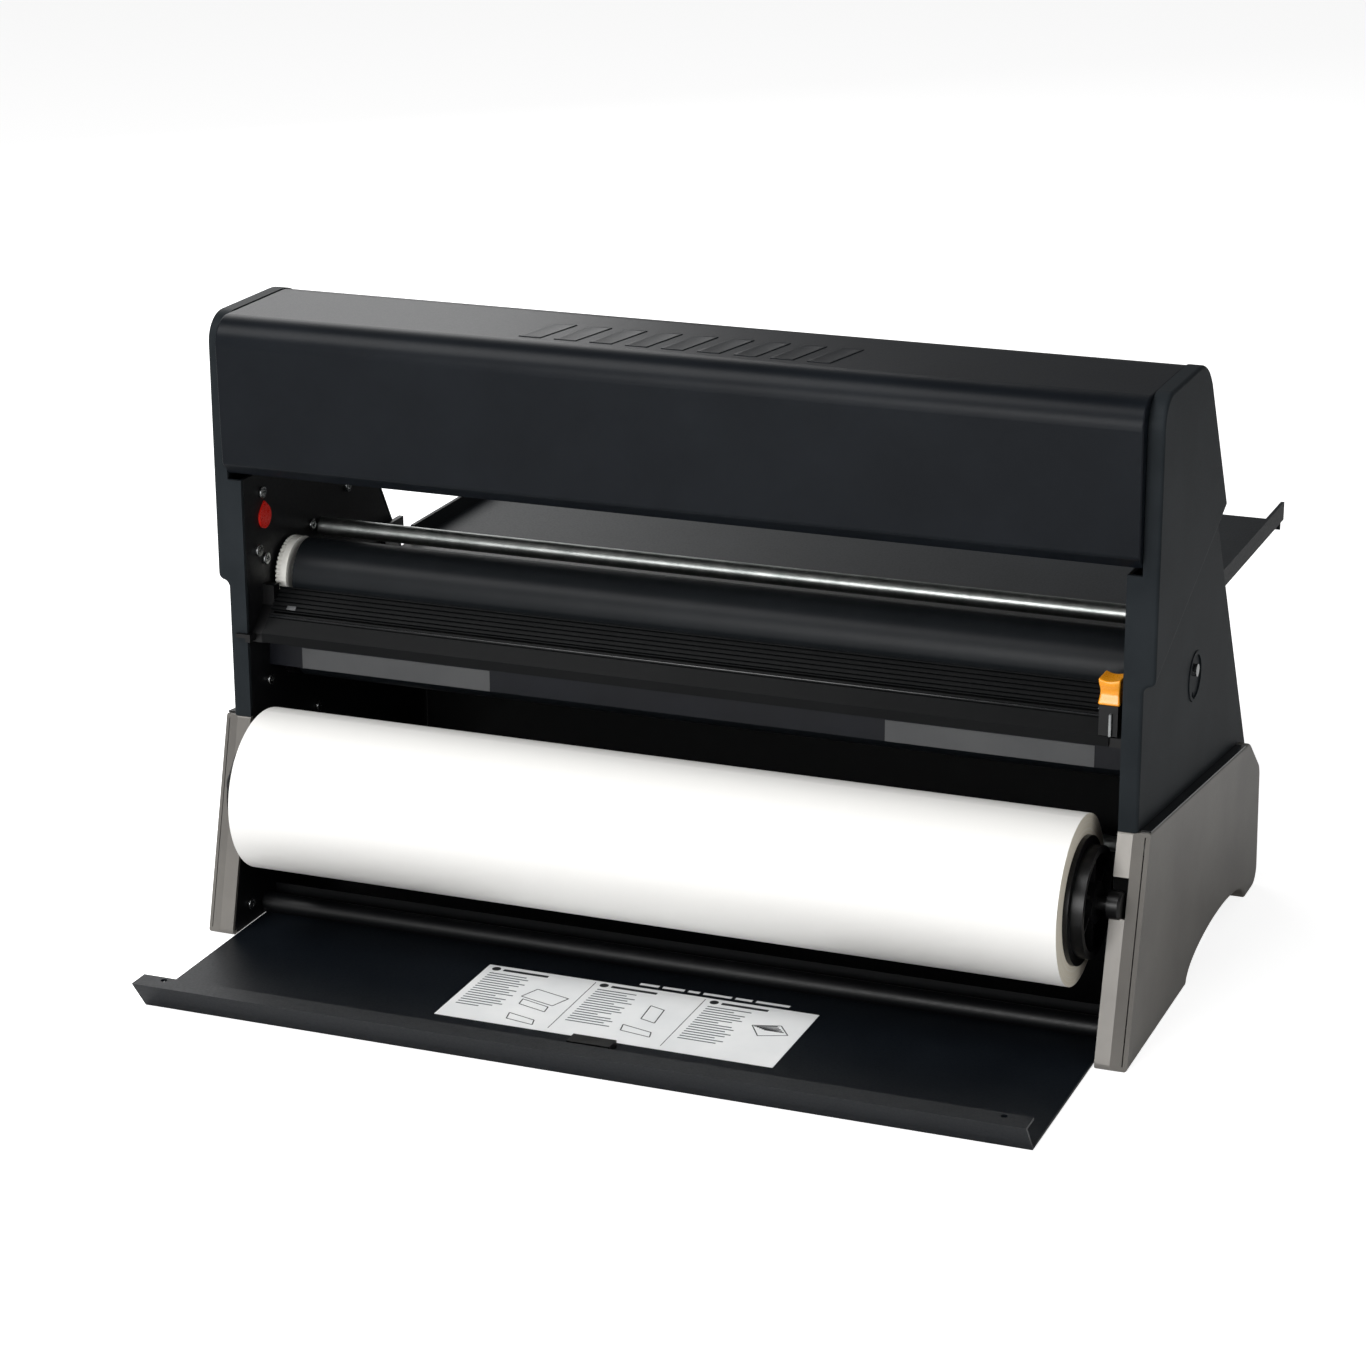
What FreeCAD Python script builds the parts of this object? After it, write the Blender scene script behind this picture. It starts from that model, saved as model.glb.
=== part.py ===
import FreeCAD, Part
import math
import os

# Cold roll laminator. X runs across the machine, +Y towards the feed tray, +Z up.
# The origin is on the table, in the middle of the base: half way between the side
# plates and half way along the base covers. Sizes are in millimetres.
# "Depth" is the distance behind the front edge of the base covers.

V = FreeCAD.Vector

# ---- driving dimensions -------------------------------------------------------------
BASE_DEPTH = 394.0             # base covers, front to back
MACHINE_HEIGHT = 472.0
PLATE_GAP = 676.0              # clear width between the side plates
PLATE_THICKNESS = 3.0
COVER_WIDTH = 22.5             # a side cover, from the plates' inner face outwards
COVER_WALL = 3.0
BASE_EDGE_ROUND = 2.0          # outer edges of the base covers
PANEL_EDGE_ROUND = 2.5         # outer edges of the upper covers
HOOD_EDGE_ROUND = 1.2
FIT_GAP = 0.3                  # between parts that lie beside each other
RUNNING_GAP = 0.05             # radial, shaft in bore

BASE_LEAN = 43.7               # how far the base's front edge leans back at the ridge
RIDGE_FRONT_HEIGHT = 162.7
RIDGE_REAR_HEIGHT = 129.5
RIDGE_REAR_DEPTH = 350.0
BASE_SHOULDER = (6.0, 98.0)    # lower rear corner: ahead of the rear end, and height
FRONT_FACET_WIDTH = 11.5       # outer facet of the base's front edge
FRONT_FACET_DEPTH = 5.0
ARCH_DEPTH = 263.0             # middle of the finger arch under a base cover
ARCH_HALF_LENGTH = 92.0
ARCH_HEIGHT = 22.0

PANEL_FRONT = 44.0             # depth of the upper covers' front edge
PANEL_REAR_TOP = 165.7         # depth where the rear slope meets the top
PANEL_REAR_FOOT = 364.7        # depth where that slope meets the base
PANEL_FRONT_ROUND = 22.0
PANEL_REAR_ROUND = 44.0
STEP_IN = 8.4                  # the outer face steps in below a slanted line
STEP_LENGTH = 10.0
STEP_FRONT_HEIGHT = 273.0
STEP_ANGLE = 22.3

HOOD_HEIGHT = 119.0            # machine's top to the hood's lower edge
HOOD_LEDGE_DROP = 5.5          # top of the covers' inner part, under the hood
HOOD_FRONT_LOW = 36.5
HOOD_FRONT_HIGH = 32.5
HOOD_LIP = 8.5
HOOD_FRONT_ROUND = 20.0
HOOD_OVER_PLATE = 10.6         # hood's ends, outside the plates' inner faces
HOOD_WALL = 2.5
HOOD_SETBACK = 1.8             # hood surface inside the covers' outline at the rear
HOOD_TOP_DROP = 0.6
PLATE_HEAD_FRONT = 75.0        # the plates' part inside the hood
PLATE_HEAD_DROP = 32.0         # its top below the machine's top
PLATE_HEAD_GAP = 2.5           # between it and the hood

ROLL_END_ROOM = 20.5           # between a supply roll and a side plate
CORE_BORE_RADIUS = 38.1
CORE_RADIUS = 43.0
AXLE_RADIUS = 10.3
AXLE_NECK_RADIUS = 5.0         # between a plug and the axle's end
AXLE_OVERHANG = 9.5            # past the side plates' inner faces
LOWER_ROLL_RADIUS = 61.0
LOWER_ROLL_DEPTH = 27.0
LOWER_SLOT_FLOOR = 104.0
LOWER_SLOT_HEIGHT = 28.0
LOWER_SLOT_END = 129.0
UPPER_ROLL_RADIUS = 48.0
UPPER_ROLL_DEPTH = 112.0
UPPER_ROLL_DROP = 67.0         # its axis below the machine's top
PLUG_FLANGE_RADIUS = 46.0
PLUG_STEP_RADIUS = 40.0
PLUG_FLANGE_WIDTH = 3.5
PLUG_STEP_WIDTH = 9.0
PLUG_SPIGOT_LENGTH = 28.0
PLUG_RIM = 5.0
PLUG_HUB_RADIUS = 15.0
PLUG_RIBS = 6

NIP_DEPTH = 113.0
NIP_UPPER_HEIGHT = 260.0
NIP_CENTRES = 54.3             # distance between the laminating rollers' axes
SHAFT_RADIUS = 8.0
COLLAR_WIDTH = 9.0
COLLAR_GAP = 1.5               # between a collar and the bush beside it
COLLAR_NECK = 5.5              # bare shaft between a collar and the rubber
GEAR_TEETH = 28
GEAR_WIDTH = 5.5
GEAR_GAP = 1.5                 # between a gear and its side plate
BUSH_RADIUS = 11.0
BUSH_FLANGE_RADIUS = 13.5
BUSH_FLANGE = 1.5

CRANK_RADIUS = 155.0
CRANK_ARM_WIDTH = 20.0
CRANK_ARM_THICKNESS = 6.0
CRANK_HUB_RADIUS = 13.0
CRANK_HUB_WIDTH = 9.0
CRANK_GRIP_RADIUS = 12.0
CRANK_GRIP_LENGTH = 60.0
CRANK_PIN_RADIUS = 4.0

UPPER_IDLER = (168.0, 280.0)   # depth and height
LOWER_IDLER = (170.0, 205.0)
IDLER_RADIUS = 7.0
IDLER_PIN_RADIUS = 4.0
IDLER_PIN_LENGTH = 14.0

DOOR_END_GAP = 3.0             # between the door and a side plate
DOOR_HINGE_DEPTH = 55.0
DOOR_HINGE_HEIGHT = 8.3
DOOR_TUBE_RADIUS = 8.0
DOOR_PIN_RADIUS = 4.0
DOOR_BEND = -137.5             # depth of the fold at the door's free edge
DOOR_LIP_FRONT = -155.6
DOOR_LIP_HEIGHT = 24.0
DOOR_LIP_RETURN = 18.6
SHEET = 1.8
DOOR_SHEET = 2.0
DOOR_CLEAR = 0.2               # door above the table
LABEL_WIDTH = 260.0
LABEL_DEPTH = 97.0
LABEL_FRONT = -81.0
LABEL_THICKNESS = 0.3

TABLE_REAR_DEPTH = 80.0        # cutter rail
TABLE_REAR_HEIGHT = 257.0
TABLE_FRONT_DEPTH = 48.0
TABLE_FRONT_HEIGHT = 229.0
TABLE_THICKNESS = 4.5
TABLE_END_ROOM = 10.0          # between the rail and a side plate, for its bracket
APRON_BOTTOM = 222.0
APRON_THICKNESS = 2.5
CHANNEL_PLACE = 22.0           # cutter channel, down the slope from the rear edge
CHANNEL_WIDTH = 4.0
CHANNEL_DEPTH = 1.6
SLOT_WIDTH = 1.8
SLOT_MARGIN = 2.0
RECESS_PLACES = (27.5, 38.5)    # shallow recess behind the rail's front lip, down the slope
RECESS_DEPTH = 1.0
RIB_COUNT = 5
RIB_PITCH = 3.9
RIB_DEPTH = 1.4
EXIT_PLATE_DEPTH = 78.0
EXIT_PLATE_BOTTOM = 194.5
EXIT_PLATE_BEND = 211.0
EXIT_PLATE_TOP = (90.0, 226.0)
CARRIAGE_END_GAP = 3.0         # between the parked carriage and the side plate
CARRIAGE_WIDTH = 15.5
CARRIAGE_FRONT = 48.0
CARRIAGE_REAR = 68.0
CARRIAGE_TOP = 251.5
KNOB_HEIGHT = 19.3
KNOB_SIDE_GAP = 1.0
BLADE_PLACE = 18.0             # parked blade's middle from the side plate
BLADE_WIDTH = 8.0
BLADE_THICKNESS = 0.6

INFEED_TOP = 236.0
INFEED_FRONT = 158.0
INFEED_TRAY_GAP = 8.0          # infeed table's rear edge to the tray's pivot
TRAY_PIVOT_INSIDE = 2.2        # tray's pivot, in front of the covers' rear slope
TRAY_PIVOT_HEIGHT = 240.5
TRAY_PIN_RADIUS = 3.0
TRAY_END_ROOM = 16.6           # between the tray and a side plate
TRAY_FLOOR_TOP = 236.0
TRAY_WALL_TOP = 248.5
TRAY_WALL_BOTTOM = 233.5
TRAY_WALL = 2.9
TRAY_FLOOR_LENGTH = 302.0      # from the pivot
TRAY_WALL_LENGTH = 313.0

PAN_LENGTH = 250.0
PAN_FLANGE = 18.0
REAR_PANEL_TOP = 215.0
REAR_PANEL_DEPTH = 350.0
TIE_RADIUS = 6.0
MIDDLE_TIE = (191.0, 217.0)    # depth and height
REAR_TIE = (330.0, 40.0)
HEAD_TIE_DROP = 97.0
HEAD_TIE_INSIDE = 22.0         # in front of the covers' rear slope
BOSS = (193.0, 231.0)
BOSS_RADIUS = 19.0
BOSS_BOLT = (189.0, 237.0)
BOSS_PLUG = (190.0, 217.0)
SCREW_RADIUS = 2.5
SCREW_HEAD_RADIUS = 4.6
SCREW_HEAD_HEIGHT = 2.4
SCREW_LENGTH = 9.0
SCREW_BOSS_RADIUS = 5.5
UPPER_SCREWS = (
    (75.0, 331.0), (66.0, 288.0), (77.0, 279.0), (153.0, 285.0),
    (76.0, 183.0), (215.0, 300.0), (295.0, 180.0),
)
LOWER_SCREWS = ((153.0, 137.0), (30.0, 16.0), (250.0, 60.0), (362.0, 30.0))
HINGE_END_ROOM = 88.0          # outer hinges from the side plates
HINGE_RADIUS = 4.0
HINGE_PIN_RADIUS = 2.0
HINGE_KNUCKLE = 20.0
HINGE_BEHIND = 2.66            # behind the covers' rear slope, at the hood's lower edge
HINGE_DROP = 4.5               # below the hood's lower edge

# ---- derived places -----------------------------------------------------------------
PLATE_IN = PLATE_GAP / 2
PLATE_OUT = PLATE_IN + PLATE_THICKNESS
COVER_OUT = PLATE_IN + COVER_WIDTH
FACE_LOW = COVER_OUT - STEP_IN
LOWER_ROLL_HEIGHT = LOWER_SLOT_FLOOR + AXLE_RADIUS + FIT_GAP
HOOD_BOTTOM = MACHINE_HEIGHT - HOOD_HEIGHT
HOOD_LEDGE = HOOD_BOTTOM - HOOD_LEDGE_DROP
HOOD_HALF_WIDTH = PLATE_IN + HOOD_OVER_PLATE
PLATE_HEAD_TOP = MACHINE_HEIGHT - PLATE_HEAD_DROP
UPPER_ROLL_HEIGHT = MACHINE_HEIGHT - UPPER_ROLL_DROP
PANEL_REAR_SLOPE = (PANEL_REAR_FOOT - PANEL_REAR_TOP) / (MACHINE_HEIGHT - RIDGE_REAR_HEIGHT)
DOOR_HALF_WIDTH = PLATE_IN - DOOR_END_GAP
TABLE_HALF_WIDTH = PLATE_IN - TABLE_END_ROOM
TRAY_HALF_WIDTH = PLATE_IN - TRAY_END_ROOM
CARRIAGE_CENTRE = PLATE_IN - CARRIAGE_END_GAP - CARRIAGE_WIDTH / 2
BLADE_CENTRE = PLATE_IN - BLADE_PLACE
HINGE_PLACES = (HINGE_END_ROOM - PLATE_IN, 0.0, PLATE_IN - HINGE_END_ROOM)
HINGE_HEIGHT = HOOD_BOTTOM - HINGE_DROP
NIP_LOWER_HEIGHT = NIP_UPPER_HEIGHT - NIP_CENTRES
ROLLER_RADIUS = (NIP_CENTRES - FIT_GAP) / 2
ROLL_END = PLATE_IN - ROLL_END_ROOM
HOOD_TOP = MACHINE_HEIGHT - HOOD_TOP_DROP


def y_of(depth):
    """Y of a distance behind the base's front edge."""
    return depth - BASE_DEPTH / 2


def ridge_height(depth):
    """Height of the ridge between a base cover and an upper cover."""
    share = (depth - BASE_LEAN) / (RIDGE_REAR_DEPTH - BASE_LEAN)
    return RIDGE_FRONT_HEIGHT + share * (RIDGE_REAR_HEIGHT - RIDGE_FRONT_HEIGHT)


def rear_depth(height):
    """Depth of the upper covers' rear slope at a height."""
    return PANEL_REAR_TOP + PANEL_REAR_SLOPE * (MACHINE_HEIGHT - height)


HINGE_DEPTH = rear_depth(HOOD_BOTTOM) + HINGE_BEHIND
TRAY_PIVOT_DEPTH = rear_depth(TRAY_PIVOT_HEIGHT) - TRAY_PIVOT_INSIDE
INFEED_REAR = TRAY_PIVOT_DEPTH - INFEED_TRAY_GAP
TRAY_FLOOR_END = TRAY_PIVOT_DEPTH + TRAY_FLOOR_LENGTH
TRAY_WALL_END = TRAY_PIVOT_DEPTH + TRAY_WALL_LENGTH
head_tie_height = MACHINE_HEIGHT - HEAD_TIE_DROP
HEAD_TIE = (rear_depth(head_tie_height) - HEAD_TIE_INSIDE, head_tie_height)


# ---- shape helpers ------------------------------------------------------------------
def box(x0, x1, d0, d1, z0, z1):
    return Part.makeBox(x1 - x0, d1 - d0, z1 - z0, V(x0, y_of(d0), z0))


def bar(x0, x1, depth, height, radius):
    """Cylinder along X."""
    return Part.makeCylinder(radius, x1 - x0, V(x0, y_of(depth), height), V(1, 0, 0))


def tube(x0, x1, depth, height, radius, bore):
    return bar(x0, x1, depth, height, radius).cut(bar(x0 - 1, x1 + 1, depth, height, bore))


def outline(corners, x):
    """Closed wire at X = x through (depth, height, corner radius) points."""
    points = [V(x, y_of(depth), height) for depth, height, _ in corners]
    joints = []
    for index, (_, _, radius) in enumerate(corners):
        point = points[index]
        back = (points[index - 1] - point).normalize()
        ahead = (points[(index + 1) % len(points)] - point).normalize()
        half = back.getAngle(ahead) / 2
        reach = radius / math.tan(half)
        bisector = (back + ahead).normalize()
        middle = point + bisector * (radius / math.sin(half) - radius)
        joints.append((point + back * reach, middle, point + ahead * reach, radius))
    edges = []
    for index, (start, middle, end, radius) in enumerate(joints):
        if radius > 0:
            edges.append(Part.Arc(start, middle, end).toShape())
        following = joints[(index + 1) % len(joints)][0]
        edges.append(Part.LineSegment(end, following).toShape())
    return Part.Wire(edges)


def prism(corners, x0, x1, inset=0.0):
    """Solid between X = x0 and x1 from an outline, moved inwards by inset."""
    face = Part.Face(outline(corners, x0))
    if inset:
        face = face.makeOffset2D(-inset)
    return face.extrude(V(x1 - x0, 0, 0))


def bent_sheet(path, thickness, x0, x1):
    """Folded sheet along X: path is its (depth, height) line, the thickness lies to its left."""
    count = len(path)
    normals = []
    for (d0, z0), (d1, z1) in zip(path, path[1:]):
        length = math.hypot(d1 - d0, z1 - z0)
        normals.append((-(z1 - z0) / length, (d1 - d0) / length))
    shifted = []
    for index, (depth, height) in enumerate(path):
        first = normals[max(index - 1, 0)]
        second = normals[min(index, count - 2)]
        scale = thickness / (1 + first[0] * second[0] + first[1] * second[1])
        shifted.append((depth + (first[0] + second[0]) * scale, height + (first[1] + second[1]) * scale))
    ring = list(path) + shifted[::-1]
    wire = Part.makePolygon([V(x0, y_of(depth), height) for depth, height in ring + ring[:1]])
    return Part.Face(wire).extrude(V(x1 - x0, 0, 0))


def rounded_beyond(shape, x, radius):
    """Round every edge that lies wholly beyond X = x."""
    edges = [edge for edge in shape.Edges if edge.BoundBox.XMin > x]
    return shape.makeFillet(radius, edges)


def mirrored(shape):
    return shape.mirror(V(0, 0, 0), V(1, 0, 0))


def both_sides(shape):
    return Part.makeCompound([shape, mirrored(shape)])


def fused(shapes):
    return shapes[0].multiFuse(shapes[1:]).removeSplitter()


def save(node, shape):
    for solid in shape.Solids:
        if not solid.isValid() or solid.Volume <= 0:
            raise ValueError(node + " is not a valid solid")
    shape.exportStep("parts/" + node + ".step")


os.makedirs("parts", exist_ok=True)

# ---- outlines shared by plates, covers and hood ---------------------------------------
BASE_OUTLINE = (
    (0.0, 0.0, 4.0),
    (BASE_LEAN, RIDGE_FRONT_HEIGHT, 2.0),
    (RIDGE_REAR_DEPTH, RIDGE_REAR_HEIGHT, 20.0),
    (BASE_DEPTH - BASE_SHOULDER[0], BASE_SHOULDER[1], 16.0),
    (BASE_DEPTH, 0.0, 14.0),
)
panel_low = RIDGE_REAR_HEIGHT / 2
PANEL_OUTLINE = (
    (PANEL_FRONT, panel_low, 0.0),
    (PANEL_FRONT, MACHINE_HEIGHT, PANEL_FRONT_ROUND),
    (PANEL_REAR_TOP, MACHINE_HEIGHT, PANEL_REAR_ROUND),
    (rear_depth(panel_low), panel_low, 0.0),
)
HOOD_OUTLINE = (
    (HOOD_FRONT_LOW + HOOD_LIP, HOOD_BOTTOM, 0.0),
    (HOOD_FRONT_LOW, HOOD_BOTTOM + HOOD_LIP, 4.0),
    (HOOD_FRONT_HIGH, HOOD_TOP, HOOD_FRONT_ROUND),
    (PANEL_REAR_TOP - HOOD_SETBACK, HOOD_TOP, PANEL_REAR_ROUND - HOOD_SETBACK),
    (rear_depth(HOOD_BOTTOM) - HOOD_SETBACK, HOOD_BOTTOM, 0.0),
)
SLOT_OUTLINE = (
    (-BASE_LEAN, LOWER_SLOT_FLOOR, 0.0),
    (LOWER_SLOT_END, LOWER_SLOT_FLOOR, 8.0),
    (LOWER_SLOT_END, LOWER_SLOT_FLOOR + LOWER_SLOT_HEIGHT, 8.0),
    (-BASE_LEAN, LOWER_SLOT_FLOOR + LOWER_SLOT_HEIGHT, 0.0),
)


def arch(x0, x1, growth):
    """Half-elliptical finger space under a base cover."""
    centre = V(x0, y_of(ARCH_DEPTH), 0)
    ellipse = Part.Ellipse(
        centre + V(0, ARCH_HALF_LENGTH + growth, 0),
        centre + V(0, 0, ARCH_HEIGHT + growth),
        centre,
    )
    face = Part.Face(Part.Wire([ellipse.toShape()]))
    return face.extrude(V(x1 - x0, 0, 0))


def outer_relief(shift):
    """What lies outside the upper cover's outer face, moved inwards by shift."""
    radius = (STEP_LENGTH**2 + STEP_IN**2) / (4 * STEP_IN)
    sweep = math.asin(STEP_LENGTH / 2 / radius)
    high = COVER_OUT - shift
    low = FACE_LOW - shift
    far = COVER_OUT + COVER_WIDTH
    rise = radius * (1 - math.cos(sweep / 2))
    run = radius * math.sin(sweep / 2)
    reach = MACHINE_HEIGHT
    start = V(high, 0, 0)
    middle = V((high + low) / 2, 0, -STEP_LENGTH / 2)
    end = V(low, 0, -STEP_LENGTH)
    edges = [
        Part.Arc(start, V(high - rise, 0, -run), middle).toShape(),
        Part.Arc(middle, V(low + rise, 0, run - STEP_LENGTH), end).toShape(),
        Part.LineSegment(end, V(low, 0, -reach)).toShape(),
        Part.LineSegment(V(low, 0, -reach), V(far, 0, -reach)).toShape(),
        Part.LineSegment(V(far, 0, -reach), V(far, 0, 0)).toShape(),
        Part.LineSegment(V(far, 0, 0), start).toShape(),
    ]
    solid = Part.Face(Part.Wire(edges)).extrude(V(0, 2 * reach, 0))
    solid.translate(V(0, -reach, 0))
    solid.rotate(V(0, 0, 0), V(1, 0, 0), STEP_ANGLE)
    solid.translate(V(0, y_of(PANEL_FRONT), STEP_FRONT_HEIGHT))
    return solid


def screw_boss(place, outer_face):
    return bar(PLATE_OUT + FIT_GAP, outer_face - 1.0, place[0], place[1], SCREW_BOSS_RADIUS)


def screw_hole(place):
    return bar(PLATE_IN - 5, PLATE_OUT + SCREW_LENGTH, place[0], place[1], SCREW_RADIUS + RUNNING_GAP)


# ---- side plates ----------------------------------------------------------------------
EDGE_ROOM = COVER_WALL + FIT_GAP
PLATE_FOOT_FRONT = 8.0
PLATE_FOOT_BOTTOM = 1.0
PLATE_FOOT_TOP = 9.0


def plate_shape(x0, x1, growth):
    """Side plate on the right, grown outwards all round for the pocket in its covers."""
    inset = EDGE_ROOM - growth
    foot = box(x0, x1, PLATE_FOOT_FRONT - growth, ARCH_DEPTH, PLATE_FOOT_BOTTOM - growth, PLATE_FOOT_TOP)
    body = fused([prism(BASE_OUTLINE, x0, x1, inset), prism(PANEL_OUTLINE, x0, x1, inset), foot])
    body = body.cut(arch(x0 - 1, x1 + 1, EDGE_ROOM - growth))
    head_space = box(x0 - 1, x1 + 1, 0, BASE_DEPTH, HOOD_LEDGE - FIT_GAP + growth, MACHINE_HEIGHT)
    head = prism(HOOD_OUTLINE, x0, x1, HOOD_WALL + PLATE_HEAD_GAP - growth)
    head = head.common(box(x0, x1, PLATE_HEAD_FRONT - growth, BASE_DEPTH, HOOD_BOTTOM,
                           PLATE_HEAD_TOP + growth))
    neck = box(x0, x1, PLATE_HEAD_FRONT - growth, rear_depth(HOOD_BOTTOM) - 3 * EDGE_ROOM,
               HOOD_LEDGE - 5, HOOD_BOTTOM + 6)
    return fused([body.cut(head_space), head, neck])


def side_plate(side):
    plate = plate_shape(PLATE_IN, PLATE_OUT, 0.0)
    cuts = [prism(SLOT_OUTLINE, PLATE_IN - 1, PLATE_OUT + 1)]
    for height in (NIP_UPPER_HEIGHT, NIP_LOWER_HEIGHT):
        cuts.append(bar(PLATE_IN - 1, PLATE_OUT + 1, NIP_DEPTH, height, BUSH_RADIUS))
    cradle = AXLE_RADIUS + FIT_GAP
    cuts.append(bar(PLATE_IN - 1, PLATE_OUT + 1, UPPER_ROLL_DEPTH, UPPER_ROLL_HEIGHT, cradle))
    cuts.append(box(PLATE_IN - 1, PLATE_OUT + 1, UPPER_ROLL_DEPTH - cradle, UPPER_ROLL_DEPTH + cradle,
                    UPPER_ROLL_HEIGHT, MACHINE_HEIGHT))
    for place in UPPER_SCREWS + LOWER_SCREWS:
        cuts.append(screw_hole(place))
    for place in (MIDDLE_TIE, REAR_TIE, HEAD_TIE):
        cuts.append(bar(PLATE_IN - 1, PLATE_OUT + 1, place[0], place[1], SCREW_RADIUS + RUNNING_GAP))
    for place in (UPPER_IDLER, LOWER_IDLER):
        cuts.append(bar(PLATE_IN - 1, PLATE_OUT + 1, place[0], place[1], IDLER_PIN_RADIUS))
    cuts.append(bar(PLATE_IN - 1, PLATE_OUT + 1, DOOR_HINGE_DEPTH, DOOR_HINGE_HEIGHT, DOOR_PIN_RADIUS))
    plate = plate.cut(Part.makeCompound(cuts))
    return plate if side == "right" else mirrored(plate)


# ---- side covers ----------------------------------------------------------------------
def base_cover(side):
    shell = prism(BASE_OUTLINE, PLATE_IN, COVER_OUT).cut(arch(PLATE_IN - 1, COVER_OUT + 1, 0))
    shell = rounded_beyond(shell, COVER_OUT - FIT_GAP, BASE_EDGE_ROUND)
    cavity = prism(BASE_OUTLINE, PLATE_IN - 1, COVER_OUT - COVER_WALL, COVER_WALL)
    cavity = cavity.cut(arch(PLATE_IN - 2, COVER_OUT, COVER_WALL))
    bosses = [screw_boss(place, COVER_OUT) for place in LOWER_SCREWS]
    cover = fused([shell.cut(cavity)] + bosses)
    facet_start = COVER_OUT - FRONT_FACET_WIDTH
    facet = Part.makePolygon([
        V(facet_start, y_of(0), 0), V(COVER_OUT + 1, y_of(-1), 0),
        V(COVER_OUT + 1, y_of(FRONT_FACET_DEPTH), 0), V(facet_start, y_of(0), 0),
    ])
    lean = V(0, BASE_LEAN, RIDGE_FRONT_HEIGHT)
    facet_cut = Part.Face(facet).extrude(lean * 1.2)
    facet_cut.translate(lean * -0.1)
    inner_part = facet_start + FIT_GAP
    cuts = [
        facet_cut,
        plate_shape(PLATE_IN - 1, PLATE_OUT + FIT_GAP, FIT_GAP),
        prism(SLOT_OUTLINE, PLATE_IN - 1, inner_part),
        foot_pad(0.1),
    ]
    for place in LOWER_SCREWS:
        cuts.append(screw_hole(place))
    cover = cover.cut(Part.makeCompound(cuts))
    return cover if side == "right" else mirrored(cover)


def foot_pad(growth):
    """Rubber pads let into the underside of a base cover, on the right."""
    pads = []
    for start, end in ((16.0, 150.0), (BASE_DEPTH - 32, BASE_DEPTH - 14)):
        pads.append(box(PLATE_OUT + 5 - growth, COVER_OUT - 4 + growth, start - growth, end + growth, 0,
                        1.5))
    return Part.makeCompound(pads)


def upper_cover(side):
    base_room = prism(BASE_OUTLINE, PLATE_IN - 2, COVER_OUT + 2, -FIT_GAP)
    base_wall = prism(BASE_OUTLINE, PLATE_IN - 2, COVER_OUT + 2, -FIT_GAP - COVER_WALL)
    cavity = prism(PANEL_OUTLINE, PLATE_IN - 1, COVER_OUT - COVER_WALL, COVER_WALL)
    cavity = cavity.cut(base_wall).cut(outer_relief(COVER_WALL))
    bosses = [screw_boss(place, FACE_LOW) for place in UPPER_SCREWS]
    block = prism(PANEL_OUTLINE, PLATE_IN, COVER_OUT).cut(outer_relief(0))
    block = rounded_beyond(block, FACE_LOW - FIT_GAP, PANEL_EDGE_ROUND)
    shell = fused([block.cut(cavity)] + bosses)
    hood_space = box(PLATE_IN - 1, HOOD_HALF_WIDTH + FIT_GAP, 0, BASE_DEPTH, HOOD_LEDGE, MACHINE_HEIGHT + 1)
    cuts = [
        base_room,
        hood_space,
        plate_shape(PLATE_IN - 1, PLATE_OUT + FIT_GAP, FIT_GAP),
    ]
    for place in UPPER_SCREWS:
        cuts.append(screw_hole(place))
    if side == "right":
        cuts.append(bar(FACE_LOW - 1.5, COVER_OUT, *BOSS, BOSS_RADIUS))
    else:
        cuts.append(bar(PLATE_OUT, COVER_OUT, NIP_DEPTH, NIP_LOWER_HEIGHT, BUSH_RADIUS))
    cover = shell
    for cut in cuts:
        cover = cover.cut(cut)
    cover = max(cover.Solids, key=lambda solid: solid.Volume)
    return cover if side == "right" else mirrored(cover)


for side in ("left", "right"):
    save(side + "_side_plate", side_plate(side))
    save(side + "_base_cover", base_cover(side))
    save(side + "_upper_cover", upper_cover(side))
save("foot_pads", both_sides(foot_pad(0)))

trim_start = BASE_LEAN + 6
trim_end = RIDGE_REAR_DEPTH - 16
TRIM_HEIGHT = 1.2
trim = prism(
    (
        (trim_start, ridge_height(trim_start), 0.0),
        (trim_start, ridge_height(trim_start) + TRIM_HEIGHT, 0.0),
        (trim_end, ridge_height(trim_end) + TRIM_HEIGHT, 0.0),
        (trim_end, ridge_height(trim_end), 0.0),
    ),
    FACE_LOW + FIT_GAP,
    COVER_OUT - FIT_GAP,
)
save("ledge_trims", both_sides(trim))


# ---- hood ------------------------------------------------------------------------------
def knuckle(place, length, bore):
    return tube(place - length / 2, place + length / 2, HINGE_DEPTH, HINGE_HEIGHT, HINGE_RADIUS, bore)


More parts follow.
